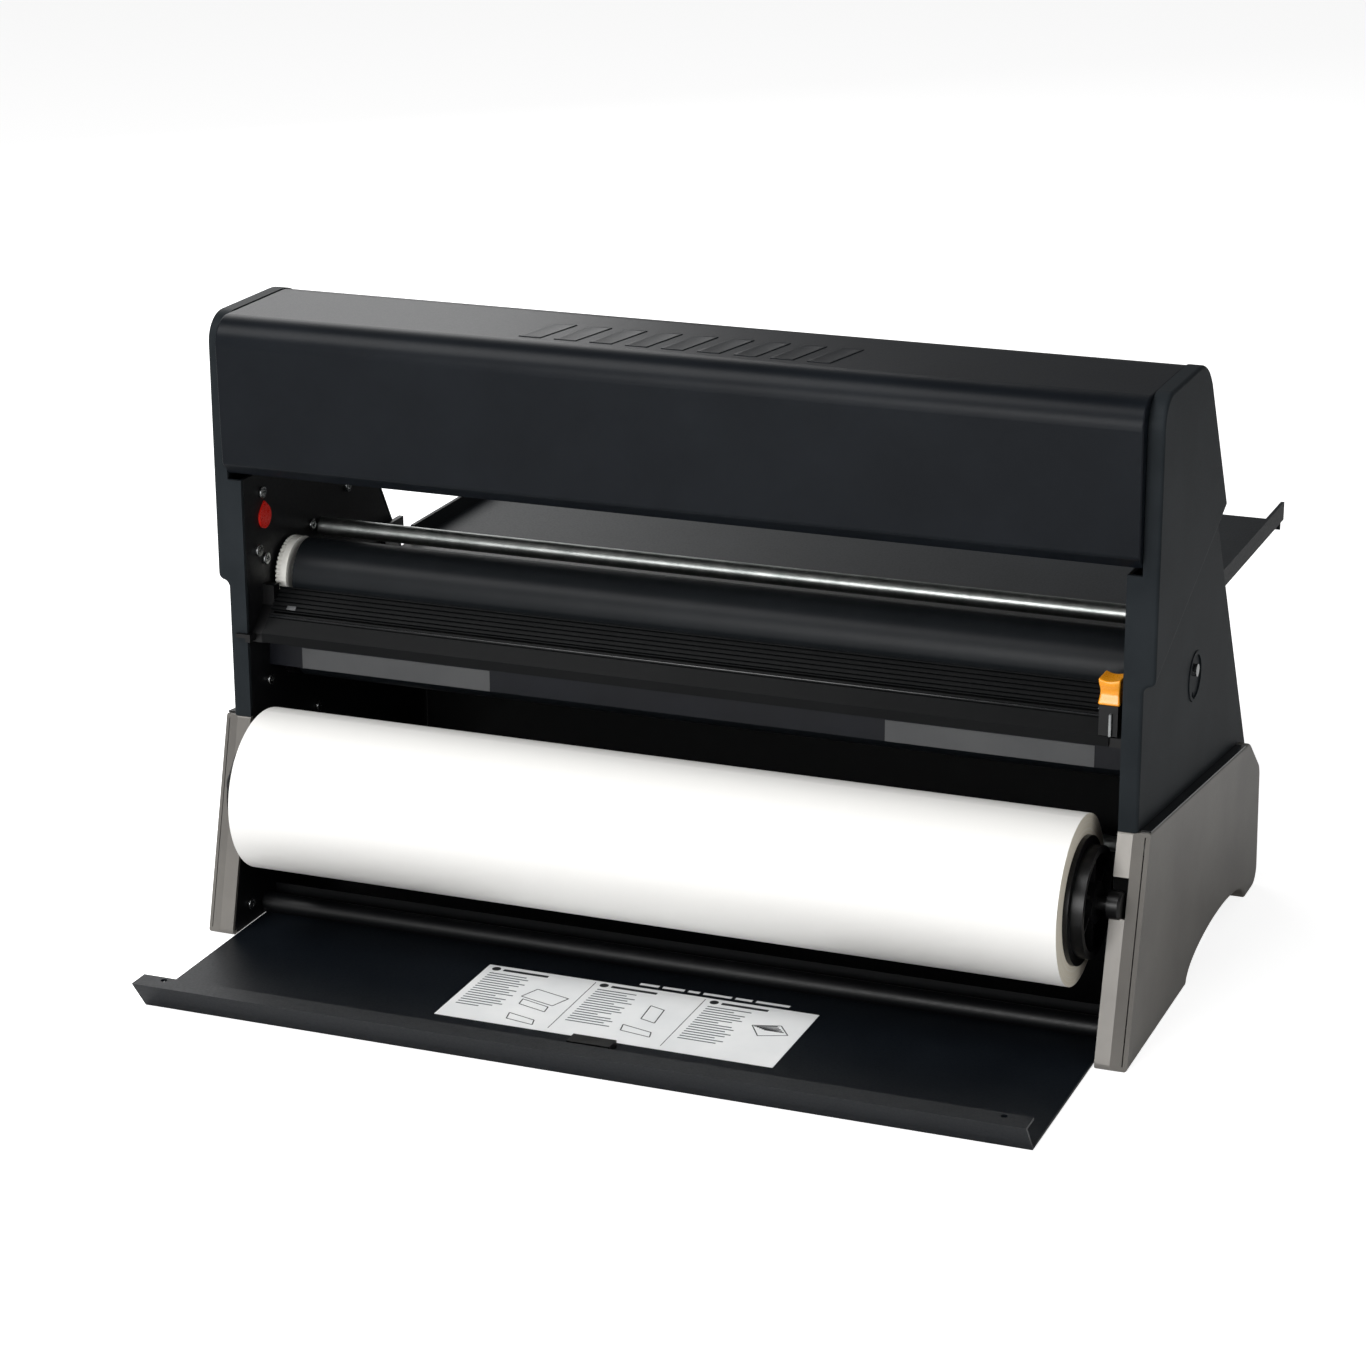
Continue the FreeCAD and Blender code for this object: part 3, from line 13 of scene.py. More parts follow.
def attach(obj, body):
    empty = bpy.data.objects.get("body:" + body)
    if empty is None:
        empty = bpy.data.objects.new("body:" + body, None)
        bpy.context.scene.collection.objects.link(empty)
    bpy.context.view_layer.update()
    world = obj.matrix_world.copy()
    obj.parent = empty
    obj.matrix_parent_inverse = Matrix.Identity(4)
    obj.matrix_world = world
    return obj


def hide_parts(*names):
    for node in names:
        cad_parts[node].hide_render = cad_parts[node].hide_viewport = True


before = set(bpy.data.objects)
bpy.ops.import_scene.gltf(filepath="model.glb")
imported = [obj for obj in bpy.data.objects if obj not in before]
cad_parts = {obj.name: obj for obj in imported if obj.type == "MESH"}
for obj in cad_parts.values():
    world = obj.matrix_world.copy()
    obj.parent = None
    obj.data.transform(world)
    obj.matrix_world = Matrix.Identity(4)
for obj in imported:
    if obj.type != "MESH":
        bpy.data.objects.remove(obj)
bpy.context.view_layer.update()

logging.basicConfig(level=logging.INFO, format="%(message)s")
LOG = logging.getLogger("laminator")

BASE_HALF_DEPTH = 197.0      # from the base's front edge to the row frame's Y of zero, in mm
MILLI = 0.001

Point = tuple[float, float]
Outline = tuple[Point, ...]


def mm(value: float) -> float:
    """Millimetres to metres."""
    return value * MILLI


def at(x: float, depth: float, z: float) -> Vector:
    """Point of the row frame from X, the distance behind the base's front edge, and height, in mm."""
    return Vector((mm(x), mm(depth - BASE_HALF_DEPTH), mm(z)))


def linear(code: str) -> tuple[float, float, float, float]:
    """Linear colour of an sRGB hex code.

    Args:
        code: six hex digits.

    Returns:
        Red, green, blue and a full alpha.
    """
    channels = []
    for start in (0, 2, 4):
        part = int(code[start:start + 2], 16) / 255
        channels.append(part / 12.92 if part <= 0.04045 else ((part + 0.055) / 1.055) ** 2.4)
    return (*channels, 1.0)


def add(tree: bpy.types.NodeTree, kind: str, inputs: dict | None = None, **settings) -> bpy.types.Node:
    """Add one shader node.

    Args:
        tree: node tree to add to.
        kind: node type, without its ShaderNode prefix.
        inputs: values or output sockets, by input name or index.
        settings: properties of the node itself.

    Returns:
        The new node.
    """
    node = tree.nodes.new("ShaderNode" + kind)
    for name, value in settings.items():
        setattr(node, name, value)
    for name, value in (inputs or {}).items():
        if isinstance(value, bpy.types.NodeSocket):
            tree.links.new(value, node.inputs[name])
        else:
            node.inputs[name].default_value = value
    return node


# ---- finishes ---------------------------------------------------------------------------
class Pattern(Enum):
    """How a finish's fine relief runs over the surface."""

    GRAIN = "grain"
    DRAWN = "drawn"
    TURNED = "turned"
    PEEL = "peel"


@dataclass(frozen=True)
class Finish:
    """A surface finish; sizes are in millimetres and colours are sRGB hex codes."""

    name: str
    colour: str
    second: str
    roughness: float
    metallic: float = 0.0
    ior: float = 1.5
    pattern: Pattern = Pattern.GRAIN
    grain: float = 1.2
    relief: float = 0.02
    mottle: float = 60.0
    spread: float = 0.06
    coat: float = 0.0
    specular: float = 0.5
    centre: tuple[float, float] = (0.0, 0.0)

    def coordinates(self, tree: bpy.types.NodeTree) -> bpy.types.NodeSocket:
        """Object coordinates, moved to the finish's own axis."""
        base = add(tree, "TexCoord").outputs["Object"]
        shift = at(0.0, *self.centre) if any(self.centre) else Vector((0.0, 0.0, 0.0))
        return add(tree, "Mapping", {"Vector": base, "Location": (0.0, -shift.y, -shift.z)}).outputs[0]

    def height(self, tree: bpy.types.NodeTree, place: bpy.types.NodeSocket) -> bpy.types.NodeSocket:
        """Relief of the surface from 0 to 1.

        Args:
            tree: node tree of the material.
            place: coordinates to read.

        Returns:
            The socket that holds the height.
        """
        fine = 1 / mm(self.grain)
        if self.pattern is Pattern.DRAWN:
            # Drawn lines run along X.
            place = add(tree, "Mapping", {"Vector": place, "Scale": (0.02, 1.0, 1.0)}).outputs[0]
            return add(tree, "TexNoise", {"Vector": place, "Scale": fine, "Detail": 4.0}).outputs["Fac"]
        if self.pattern is Pattern.TURNED:
            # Turned marks run round X.
            place = add(tree, "Mapping", {"Vector": place, "Scale": (1.0, 0.05, 0.05)}).outputs[0]
            return add(tree, "TexNoise", {"Vector": place, "Scale": fine, "Detail": 3.0}).outputs["Fac"]
        if self.pattern is Pattern.PEEL:
            return add(tree, "TexVoronoi", {"Vector": place, "Scale": fine, "Smoothness": 1.0},
                       feature="SMOOTH_F1").outputs["Distance"]
        noise = add(tree, "TexNoise", {"Vector": place, "Scale": fine, "Detail": 6.0, "Roughness": 0.6})
        return noise.outputs["Fac"]

    def blend(self, tree: bpy.types.NodeTree, place: bpy.types.NodeSocket) -> bpy.types.NodeSocket:
        """Share of the second colour, from slow clouds over the surface."""
        cloud = add(tree, "TexNoise", {"Vector": place, "Scale": 1 / mm(self.mottle), "Detail": 5.0,
                                       "Roughness": 0.55})
        spread = {"Value": cloud.outputs["Fac"], "From Min": 0.35, "From Max": 0.7}
        return add(tree, "MapRange", spread).outputs[0]

    def material(self) -> bpy.types.Material:
        """The finish as a material, made once."""
        made = bpy.data.materials.get(self.name)
        if made:
            return made
        made = bpy.data.materials.new(self.name)
        made.use_nodes = True
        tree = made.node_tree
        tree.nodes.clear()
        place = self.coordinates(tree)
        share = self.blend(tree, place)
        height = self.height(tree, place)
        colour = add(tree, "Mix", {0: share, 6: linear(self.colour), 7: linear(self.second)},
                     data_type="RGBA")
        rough = add(tree, "MapRange", {"Value": height, "To Min": self.roughness - self.spread,
                                       "To Max": self.roughness + self.spread})
        bump = add(tree, "Bump", {"Height": height, "Strength": 0.6, "Distance": mm(self.relief)})
        shader = add(tree, "BsdfPrincipled", {
            "Base Color": colour.outputs[2], "Roughness": rough.outputs[0], "Normal": bump.outputs[0],
            "Metallic": self.metallic, "Coat Weight": self.coat,
            "Specular IOR Level": self.specular,
        })
        if not self.metallic:
            shader.inputs["IOR"].default_value = self.ior
        add(tree, "OutputMaterial", {"Surface": shader.outputs[0]})
        return made


@dataclass(frozen=True)
class WoundFinish(Finish):
    """Film or card wound on a core: rings show on the ends, faint bands along the roll."""

    turn: float = 0.9

    def blend(self, tree: bpy.types.NodeTree, place: bpy.types.NodeSocket) -> bpy.types.NodeSocket:
        """The second colour on the roll's ends, broken up into rings."""
        parts = add(tree, "SeparateXYZ", {0: place})
        flat = add(tree, "CombineXYZ", {"Y": parts.outputs["Y"], "Z": parts.outputs["Z"]})
        radius = add(tree, "VectorMath", {0: flat.outputs[0]}, operation="LENGTH").outputs["Value"]
        rings = add(tree, "TexNoise", {"W": radius, "Scale": 1 / mm(self.turn), "Detail": 3.0},
                    noise_dimensions="1D")
        facing = add(tree, "SeparateXYZ", {0: add(tree, "NewGeometry").outputs["Normal"]})
        side = add(tree, "Math", {0: facing.outputs["X"]}, operation="ABSOLUTE").outputs[0]
        end = add(tree, "MapRange", {"Value": side, "From Min": 0.6, "From Max": 0.9}).outputs[0]
        ring = add(tree, "MapRange", {"Value": rings.outputs["Fac"], "From Min": 0.3, "From Max": 0.7,
                                      "To Min": 0.45, "To Max": 1.0}).outputs[0]
        return add(tree, "Math", {0: end, 1: ring}, operation="MULTIPLY").outputs[0]


LOWER_ROLL_AXIS = (27.0, 114.6)
UPPER_ROLL_AXIS = (112.0, 405.0)

# ABS cover moulded in a spark-eroded tool: dark, dull, with a fine even sparkle.
CHARCOAL_ABS = Finish("charcoal_spark_eroded_abs", "1e2225", "25292c", 0.48, grain=1.1, relief=0.05,
                      specular=0.05)
# ABS of the hood and its bars, near black with the same grain; the broad front catches one soft highlight.
BLACK_ABS = Finish("black_spark_eroded_abs", "0a0e13", "0f1318", 0.37, grain=1.3, relief=0.07,
                   specular=0.12)
# Moulded in metallic grey: warm flakes give it a pewter sheen that is brighter along edges.
PEWTER_ABS = Finish("pewter_metallic_abs", "6b6864", "7b7873", 0.38, metallic=0.35, grain=0.8, relief=0.03,
                    mottle=90.0)
# Steel sheet with black powder coat: orange-peel skin under a dull shine.
BLACK_POWDER = Finish("black_powder_coat", "060709", "0a0b0d", 0.45, pattern=Pattern.PEEL, grain=1.8,
                      relief=0.02, specular=0.3)
# The door's powder coat, a shade bluer and smoother.
DOOR_POWDER = Finish("slate_black_powder_coat", "0b0f14", "101419", 0.42, pattern=Pattern.PEEL, grain=1.6,
                     relief=0.02, specular=0.15)
# The tray's powder coat is charcoal and satin.
TRAY_POWDER = Finish("charcoal_powder_coat", "191c1f", "1f2225", 0.50, pattern=Pattern.PEEL, grain=1.6,
                     relief=0.02, specular=0.2)
# Blue-grey enamel on the exit plate.
STRIP_ENAMEL = Finish("midnight_enamel", "0b0d13", "10131a", 0.42, pattern=Pattern.PEEL, grain=1.4,
                      relief=0.01, specular=0.2)
# Glossy black moulding of the ledges and the guide wire: one crisp highlight along each edge.
GLOSS_BLACK = Finish("gloss_black_abs", "0d0e10", "131518", 0.22, grain=2.0, relief=0.01, coat=0.3)
# Moulded nylon with glass fibre: black, with the soft shine of a worn handle.
BLACK_NYLON = Finish("black_glass_filled_nylon", "050506", "0a0a0b", 0.34, grain=1.0, relief=0.02,
                     specular=0.3)
# Extruded rail, ridges polished by the carriage.
RAIL_BLACK = Finish("black_anodised_extrusion", "040506", "08090a", 0.42, pattern=Pattern.DRAWN, grain=0.7,
                    relief=0.02, specular=0.1)
# Zinc plated rod: bright bands between cloudy spangle, drawn along its length.
ZINC = Finish("zinc_plated_steel", "c3c6c4", "9ea3a1", 0.38, metallic=1.0, pattern=Pattern.DRAWN, grain=1.5,
              relief=0.02, mottle=14.0, spread=0.08)
# Machined steel of shafts and screw heads: bright, with fine turned rings.
STEEL = Finish("turned_bright_steel", "a9abab", "8c8f90", 0.26, metallic=1.0, pattern=Pattern.TURNED,
               grain=0.5, relief=0.01, mottle=8.0)
# Silicone rubber of the laminating rollers: satin, ground round.
SILICONE = Finish("ground_silicone_rubber", "101316", "15181b", 0.40, pattern=Pattern.TURNED, grain=0.6,
                  relief=0.01, ior=1.42, specular=0.2)
# White acetal of the upper collar and the drive gears: satin and faintly warm.
ACETAL = Finish("white_acetal", "f1f0ea", "e4e3dc", 0.38, grain=1.5, relief=0.01)
# White supply film, wound tight; the cut ends are creamier. The rings of film are far too fine to see, so
# they are drawn coarser.
FILM = WoundFinish("wound_white_film", "f4f3f0", "d9cfb8", 0.36, grain=6.0, relief=0.02,
                   centre=LOWER_ROLL_AXIS)
UPPER_FILM = WoundFinish("wound_white_film_upper", "f4f3f0", "d9cfb8", 0.36, grain=6.0, relief=0.02,
                         centre=UPPER_ROLL_AXIS)
# Spiral wound card of the cores: brown, dry and fibrous.
CARD = WoundFinish("spiral_wound_card", "a58a66", "8d7350", 0.85, grain=0.8, relief=0.05,
                   centre=LOWER_ROLL_AXIS)
UPPER_CARD = WoundFinish("spiral_wound_card_upper", "a58a66", "8d7350", 0.85, grain=0.8, relief=0.05,
                         centre=UPPER_ROLL_AXIS)
# Orange-yellow moulded knob, a little glossy where fingers rub it.
ORANGE = Finish("orange_gloss_abs", "f5a31a", "ec9412", 0.28, grain=1.0, relief=0.01, coat=0.2)
# The same gloss moulding in signal red.
RED = Finish("red_gloss_abs", "d8261a", "c71d13", 0.28, grain=1.0, relief=0.01, coat=0.2)
# Calendered vinyl of the door's label: near white, dull, almost without relief.
WHITE_VINYL = Finish("white_vinyl", "f3f4f4", "e8eaeb", 0.45, grain=2.0, relief=0.005)
# The exit plate's labels are grey vinyl with a fine texture.
GREY_VINYL = Finish("grey_vinyl", "434446", "4c4d4e", 0.50, grain=1.0, relief=0.02)
# Screen printed ink lies flat and slightly uneven on the vinyl.
INK = Finish("black_screen_ink", "202224", "2a2c2e", 0.50, grain=0.8, relief=0.005)
# Small type reads as grey lines from where it is seen.
GREY_INK = Finish("grey_screen_ink", "55595c", "606467", 0.50, grain=0.8, relief=0.005)
# Moulded rubber feet: matt black with a coarse grain.
FOOT_RUBBER = Finish("black_foot_rubber", "0c0c0c", "141414", 0.70, grain=0.9, relief=0.04)

NODE_FINISHES: dict[Finish, tuple[str, ...]] = {
    CHARCOAL_ABS: ("left_upper_cover", "right_upper_cover", "side_boss"),
    BLACK_ABS: ("hood",),
    PEWTER_ABS: ("left_base_cover", "right_base_cover"),
    BLACK_POWDER: ("left_side_plate", "right_side_plate", "rear_rail", "rear_panel", "infeed_table",
                   "door_hinge_tube", "table_brackets", "base_pan"),
    DOOR_POWDER: ("door",),
    TRAY_POWDER: ("feed_tray",),
    STRIP_ENAMEL: ("exit_plate",),
    GLOSS_BLACK: ("ledge_trims",),
    BLACK_NYLON: ("roller_bushes", "door_catch", "lower_roll_plugs", "upper_roll_plugs", "rail_brackets",
                  "cutter_carriage", "lower_roll_axle"),
    RAIL_BLACK: ("cutter_rail",),
    ZINC: ("upper_idler_bar", "lower_idler_bar", "tie_bars", "crank_arm"),
    STEEL: ("hood_hinge_pins", "idler_pins", "bar_bolts", "boss_bolt", "door_hinge_pins", "tray_pins",
            "upper_roll_axle", "upper_roller_shaft", "lower_roller_shaft", "crank_grip_pin", "cutter_blade",
            "cutter_pin"),
    SILICONE: ("upper_roller_rubber", "lower_roller_rubber"),
    ACETAL: ("upper_drive_gear", "lower_drive_gear"),
    FILM: ("lower_roll_film",),
    UPPER_FILM: ("upper_roll_film",),
    CARD: ("lower_roll_core",),
    UPPER_CARD: ("upper_roll_core",),
    RED: ("red_drop",),
    WHITE_VINYL: ("door_label",),
    GREY_VINYL: ("exit_labels",),
    FOOT_RUBBER: ("foot_pads",),
}


# ---- modelling helpers --------------------------------------------------------------------
def deselect() -> None:
    """Deselect every object, leaving object mode."""
    if bpy.context.object and bpy.context.object.mode != "OBJECT":
        bpy.ops.object.mode_set(mode="OBJECT")
    bpy.ops.object.select_all(action="DESELECT")


def only(piece: bpy.types.Object) -> bpy.types.Object:
    """Make piece the one selected, active object."""
    deselect()
    piece.select_set(True)
    bpy.context.view_layer.objects.active = piece
    return piece


def settle(piece: bpy.types.Object) -> bpy.types.Object:
    """Put a piece's place and turn into its mesh."""
    only(piece)
    bpy.ops.object.transform_apply(location=True, rotation=True, scale=True)
    return piece


def cylinder(name: str, radius: float, x0: float, x1: float, depth: float, z: float,
             sides: int) -> bpy.types.Object:
    """Cylinder along X, from x0 to x1, in mm."""
    deselect()
    bpy.ops.mesh.primitive_cylinder_add(
        vertices=sides, radius=mm(radius), depth=mm(x1 - x0),
        location=at((x0 + x1) / 2, depth, z), rotation=(0.0, math.pi / 2, 0.0))
    piece = bpy.context.object
    piece.name = name
    return settle(piece)


def block(name: str, low: Vector, high: Vector) -> bpy.types.Object:
    """Box between two corners of the row frame, in metres."""
    deselect()
    bpy.ops.mesh.primitive_cube_add(size=1.0, location=(low + high) / 2)
    piece = bpy.context.object
    piece.name = name
    piece.scale = high - low
    return settle(piece)


def pick(piece: bpy.types.Object, kind: str, test: Callable[..., bool]) -> None:
    """Enter edit mode with just the faces, edges or verts that pass a test selected.

    Args:
        piece: mesh to edit.
        kind: FACE, EDGE or VERT.
        test: takes a bmesh element and says whether it is wanted.
    """
    only(piece)
    bpy.ops.object.mode_set(mode="EDIT")
    bpy.ops.mesh.select_mode(type=kind)
    bpy.ops.mesh.select_all(action="DESELECT")
    mesh = bmesh.from_edit_mesh(piece.data)
    for element in {"FACE": mesh.faces, "EDGE": mesh.edges, "VERT": mesh.verts}[kind]:
        if test(element):
            element.select_set(True)
    mesh.select_flush_mode()
    bmesh.update_edit_mesh(piece.data)


def middle(element: bmesh.types.BMEdge | bmesh.types.BMFace) -> Vector:
    """Middle of a bmesh edge or face."""
    return sum((vert.co for vert in element.verts), Vector()) / len(element.verts)


def bevel(piece: bpy.types.Object, width: float, segments: int = 3, angle: float = 30.0) -> bpy.types.Object:
    """Round the edges sharper than an angle, and apply the modifier."""
    only(piece)
    modifier = piece.modifiers.new("Round", "BEVEL")
    modifier.width = mm(width)
    modifier.segments = segments
    modifier.limit_method = "ANGLE"
    modifier.angle_limit = math.radians(angle)
    modifier.harden_normals = False
    bpy.ops.object.modifier_apply(modifier=modifier.name)
    bpy.ops.object.shade_smooth_by_angle(angle=math.radians(angle + 5))
    return piece


def copies(piece: bpy.types.Object, offsets: Sequence[Vector], name: str) -> bpy.types.Object:
    """Copy a piece to each offset and join the copies; the pattern piece itself is removed."""
    made = []
    for offset in offsets:
        twin = piece.copy()
        twin.data = piece.data.copy()
        bpy.context.scene.collection.objects.link(twin)
        twin.data.transform(Matrix.Translation(offset))
        made.append(twin)
    bpy.data.objects.remove(piece)
    return joined(made, name)


def joined(parts: Sequence[bpy.types.Object], name: str) -> bpy.types.Object:
    """Join parts into one piece."""
    deselect()
    for part in parts:
        part.select_set(True)
    bpy.context.view_layer.objects.active = parts[0]
    if len(parts) > 1:
        bpy.ops.object.join()
    parts[0].name = name
    return parts[0]


def cut_with(piece: bpy.types.Object, tool: bpy.types.Object) -> bpy.types.Object:
    """Cut a tool's shape out of a piece and remove the tool."""
    only(piece)
    modifier = piece.modifiers.new("Cut", "BOOLEAN")
    modifier.operation = "DIFFERENCE"
    modifier.solver = "EXACT"
    modifier.object = tool
    bpy.ops.object.modifier_apply(modifier=modifier.name)
    bpy.data.objects.remove(tool)
    return piece


def fit(piece: bpy.types.Object, finish: Finish, body: str, replaced: Iterable[str] = ()) -> None:
    """Give a new piece its finish, its body, and the CAD nodes it stands for."""
    piece.data.materials.clear()
    piece.data.materials.append(finish.material())
    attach(piece, body)
    if replaced:
        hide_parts(*replaced)
    LOG.info("%s: %d faces", piece.name, len(piece.data.polygons))


# ---- sub-assemblies ------------------------------------------------------------------------
@dataclass
class CadFrame:
    """The nodes that keep their CAD shape."""

    finishes: dict[Finish, tuple[str, ...]] = field(default_factory=lambda: NODE_FINISHES)

    def dress(self) -> None:
        """Put each node's finish on it."""
        for finish, nodes in self.finishes.items():
            for node in nodes:
                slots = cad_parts[node].data.materials
                slots.clear()
                slots.append(finish.material())


@dataclass
class HoodBadge:
    """Row of slanted raised bars on the hood's top, in place of lettering."""

    x0: float = -118.0
    x1: float = 128.0
    front: float = 62.0
    rear: float = 108.0
    top: float = 471.4
    rise: float = 0.55
    count: int = 9
    share: float = 0.62
    slant: float = 9.0
    rim: float = 2.2
    sink: float = 0.35
    edge: float = 0.2

    def bar(self, start: float, end: float) -> bpy.types.Object:
        """One slanted bar with a sunk middle."""
        piece = block("badge_bar", at(start, self.front, self.top - self.rise),
                      at(end, self.rear, self.top + self.rise))
        pick(piece, "FACE", lambda face: face.normal.y > 0.9)
        bpy.ops.transform.translate(value=(mm(self.slant), 0.0, 0.0))
        pick(piece, "FACE", lambda face: face.normal.z > 0.9)
        bpy.ops.mesh.inset(thickness=mm(self.rim), depth=0.0)
        bpy.ops.transform.translate(value=(0.0, 0.0, -mm(self.sink)))
        deselect()
        return bevel(piece, self.edge, 2)

    def build(self) -> None:
        """Make the bars and set them on the hood."""
        pitch = (self.x1 - self.x0) / self.count
        parts = [self.bar(self.x0 + index * pitch, self.x0 + (index + self.share) * pitch)
                 for index in range(self.count)]
        fit(joined(parts, "hood_badge_bars"), BLACK_ABS, "hood")


@dataclass
class PlateScrews:
    """Pan head screws with a cross recess on the inner faces of the side plates; places are (depth, z)."""

    face: float = 338.0
    head: float = 4.6
    height: float = 2.4
    dome: float = 0.7
    rim: float = 1.6
    crown: float = 0.05
    recess: float = 1.3
    proud: float = 1.0
    arm: float = 0.55
    reach: float = 2.1
    sides: int = 40
    places: tuple[Point, ...] = (
        (75.0, 331.0), (66.0, 288.0), (77.0, 279.0), (153.0, 285.0), (76.0, 183.0), (215.0, 300.0),
        (295.0, 180.0), (153.0, 137.0), (30.0, 16.0), (250.0, 60.0), (362.0, 30.0),
    )

    def screw(self, side: int) -> bpy.types.Object:
        """A screw head on one side plate, at the first place."""
        depth, z = self.places[0]
        inner = self.face - self.height
        low, high = sorted((side * inner, side * self.face))
        piece = cylinder("screw", self.head, low, high, depth, z, self.sides)
        pick(piece, "FACE", lambda face: face.normal.x * side < -0.9)
        bpy.ops.mesh.inset(thickness=mm(self.rim), depth=0.0)
        bpy.ops.transform.translate(value=(-side * mm(self.crown), 0.0, 0.0))
        deselect()
        bevel(piece, self.dome, 4)
        for along, across in ((self.reach, self.arm), (self.arm, self.reach)):
            start, end = sorted((side * (inner - self.proud), side * (inner + self.recess)))
            tool = block("cross", at(start, depth - along, z - across), at(end, depth + along, z + across))
            cut_with(piece, tool)
        return piece

    def build(self) -> None:
        """Copy the head to every place on both plates."""
        first = self.places[0]
        offsets = [Vector((0.0, mm(depth - first[0]), mm(z - first[1]))) for depth, z in self.places]
        rows = [copies(self.screw(side), offsets, "screw_row") for side in (-1, 1)]
        fit(joined(rows, "cross_head_screws"), STEEL, "machine", ["plate_screws"])


@dataclass
class RollerCollars:
    """Collars at the left ends of the laminating rollers, with fine teeth at their outer rim."""

    depth: float = 113.0
    heights: tuple[float, float] = (260.0, 205.7)
    radius: float = 27.0
    teeth: int = 48
    tooth: float = 1.5
    toothed: float = 3.5
    raised: float = 0.9
    hub: float = 5.0
    hub_rim: float = 1.0
    hub_sink: float = 2.0
    smooth_below: float = 20.0
    outer: float = -335.0
    inner: float = -326.0

    def collar(self, height: float, name: str) -> bpy.types.Object:
        """A collar whose outer part is cut into teeth."""
        piece = cylinder(name, self.radius - self.tooth, self.outer, self.inner, self.depth, height,
                         self.teeth * 2)
        axis = at(0.0, self.depth, height)
        split = mm(self.outer + self.toothed)
        half = mm((self.outer + self.inner) / 2)
        # A ring of points halfway along the rim moves to where the teeth end.
        pick(piece, "EDGE", lambda edge: abs(edge.verts[0].co.x - edge.verts[1].co.x) > mm(self.toothed))
        bpy.ops.mesh.subdivide(number_cuts=1)
        pick(piece, "VERT", lambda vert: abs(vert.co.x - half) < mm(self.toothed) / 10)
        bpy.ops.transform.translate(value=(split - half, 0.0, 0.0))

        def tooth_face(face: bmesh.types.BMFace) -> bool:
            """Every other face of the outer band."""
            spot = middle(face) - axis
            turn = math.atan2(spot.z, spot.y) / math.tau * self.teeth * 2
            return abs(face.normal.x) < 0.5 and middle(face).x < split and math.floor(turn) % 2 == 0

        outwards = {"value": mm(self.tooth * self.raised)}
        pick(piece, "FACE", tooth_face)
        bpy.ops.mesh.extrude_region_shrink_fatten(TRANSFORM_OT_shrink_fatten=outwards)
        pick(piece, "FACE", lambda face: abs(face.normal.x) < 0.5 and middle(face).x > split)
        bpy.ops.mesh.extrude_region_shrink_fatten(TRANSFORM_OT_shrink_fatten=outwards)
        pick(piece, "FACE",
             lambda face: face.normal.x < -0.9 and (middle(face) - axis).yz.length < mm(self.hub))
        bpy.ops.mesh.inset(thickness=mm(self.hub), depth=0.0)
        bpy.ops.mesh.inset(thickness=mm(self.hub_rim), depth=-mm(self.hub_sink))
        deselect()
        return piece

    def build(self) -> None:
        """Make the collar of each roller."""
        for height, which, finish, slot in zip(self.heights, ("upper", "lower"), (ACETAL, BLACK_NYLON),
                                                ("white_plastic", "plug_plastic")):
            piece = self.collar(height, which + "_toothed_collar")
            only(piece)
            bpy.ops.object.shade_smooth_by_angle(angle=math.radians(self.smooth_below))
            fit(piece, finish, which + "_roller", [which + "_roller_collar"])


@dataclass
class CutterKnob:
    """Saddle shaped orange knob on the cutter carriage."""

    x0: float = 319.5
    x1: float = 335.0
    front: float = 48.0
    rear: float = 68.0
    low: float = 251.5
    high: float = 270.8
    dip: float = 2.0
    waist: float = 2.2
    waist_end: float = 0.92
    waist_reach: float = 10.0
    side_share: float = 0.4
    edge: float = 1.1
    cuts: int = 11

    def build(self) -> None:
        """Shape a block into the knob."""
        piece = block("orange_knob", at(self.x0, self.front, self.low), at(self.x1, self.rear, self.high))
        pick(piece, "EDGE", lambda edge: True)
        bpy.ops.mesh.subdivide(number_cuts=self.cuts)
        deselect()
        centre_x = mm((self.x0 + self.x1) / 2)
        centre_y = at(0, (self.front + self.rear) / 2, 0).y
        half_x = mm((self.x1 - self.x0) / 2)
        height = mm(self.high - self.low)
        for vert in piece.data.vertices:
            up = (vert.co.z - mm(self.low)) / height
            across = (vert.co.x - centre_x) / half_x
            vert.co.z -= mm(self.dip) * up ** 2 * (1 - across ** 2)
            pull = mm(self.waist) * math.sin(math.pi * min(1.0, up / self.waist_end)) ** 2
            vert.co.y -= pull * (vert.co.y - centre_y) / mm(self.waist_reach)
            vert.co.x -= pull * across * self.side_share
        bevel(piece, self.edge, 4, 40.0)
        fit(piece, ORANGE, "cutter", ["cutter_knob"])


@dataclass
class RailTrim:
    """Dark guide wire along the cutter rail and the index mark on its slope, at the left end."""

    wire_depth: float = 60.5
    wire_height: float = 239.6
    wire: float = 0.55
    wire_sides: int = 16
    wire_edge: float = 0.15
    end: float = 326.0
    mark_left: float = -315.5
    mark_right: float = -308.0
    mark_front: float = 65.1
    mark_rear: float = 67.6
    mark_low: float = 243.9
    mark_thickness: float = 0.35
    mark_climb: float = 2.19
    mark_edge: float = 0.1

    def build(self) -> None:
        """Lay the wire and the mark on the rail."""
        piece = cylinder("rail_guide_wire", self.wire, -self.end, self.end, self.wire_depth, self.wire_height,
                         self.wire_sides)
        bevel(piece, self.wire_edge, 2)
        fit(piece, GLOSS_BLACK, "machine")
        mark = block("rail_index_mark", at(self.mark_left, self.mark_front, self.mark_low),
                     at(self.mark_right, self.mark_rear, self.mark_low + self.mark_thickness))
        half = at(0.0, (self.mark_front + self.mark_rear) / 2, 0.0).y
        pick(mark, "VERT", lambda vert: vert.co.y > half)
        bpy.ops.transform.translate(value=(0.0, 0.0, mm(self.mark_climb)))
        bevel(mark, self.mark_edge, 2)
        fit(mark, GREY_VINYL, "machine")


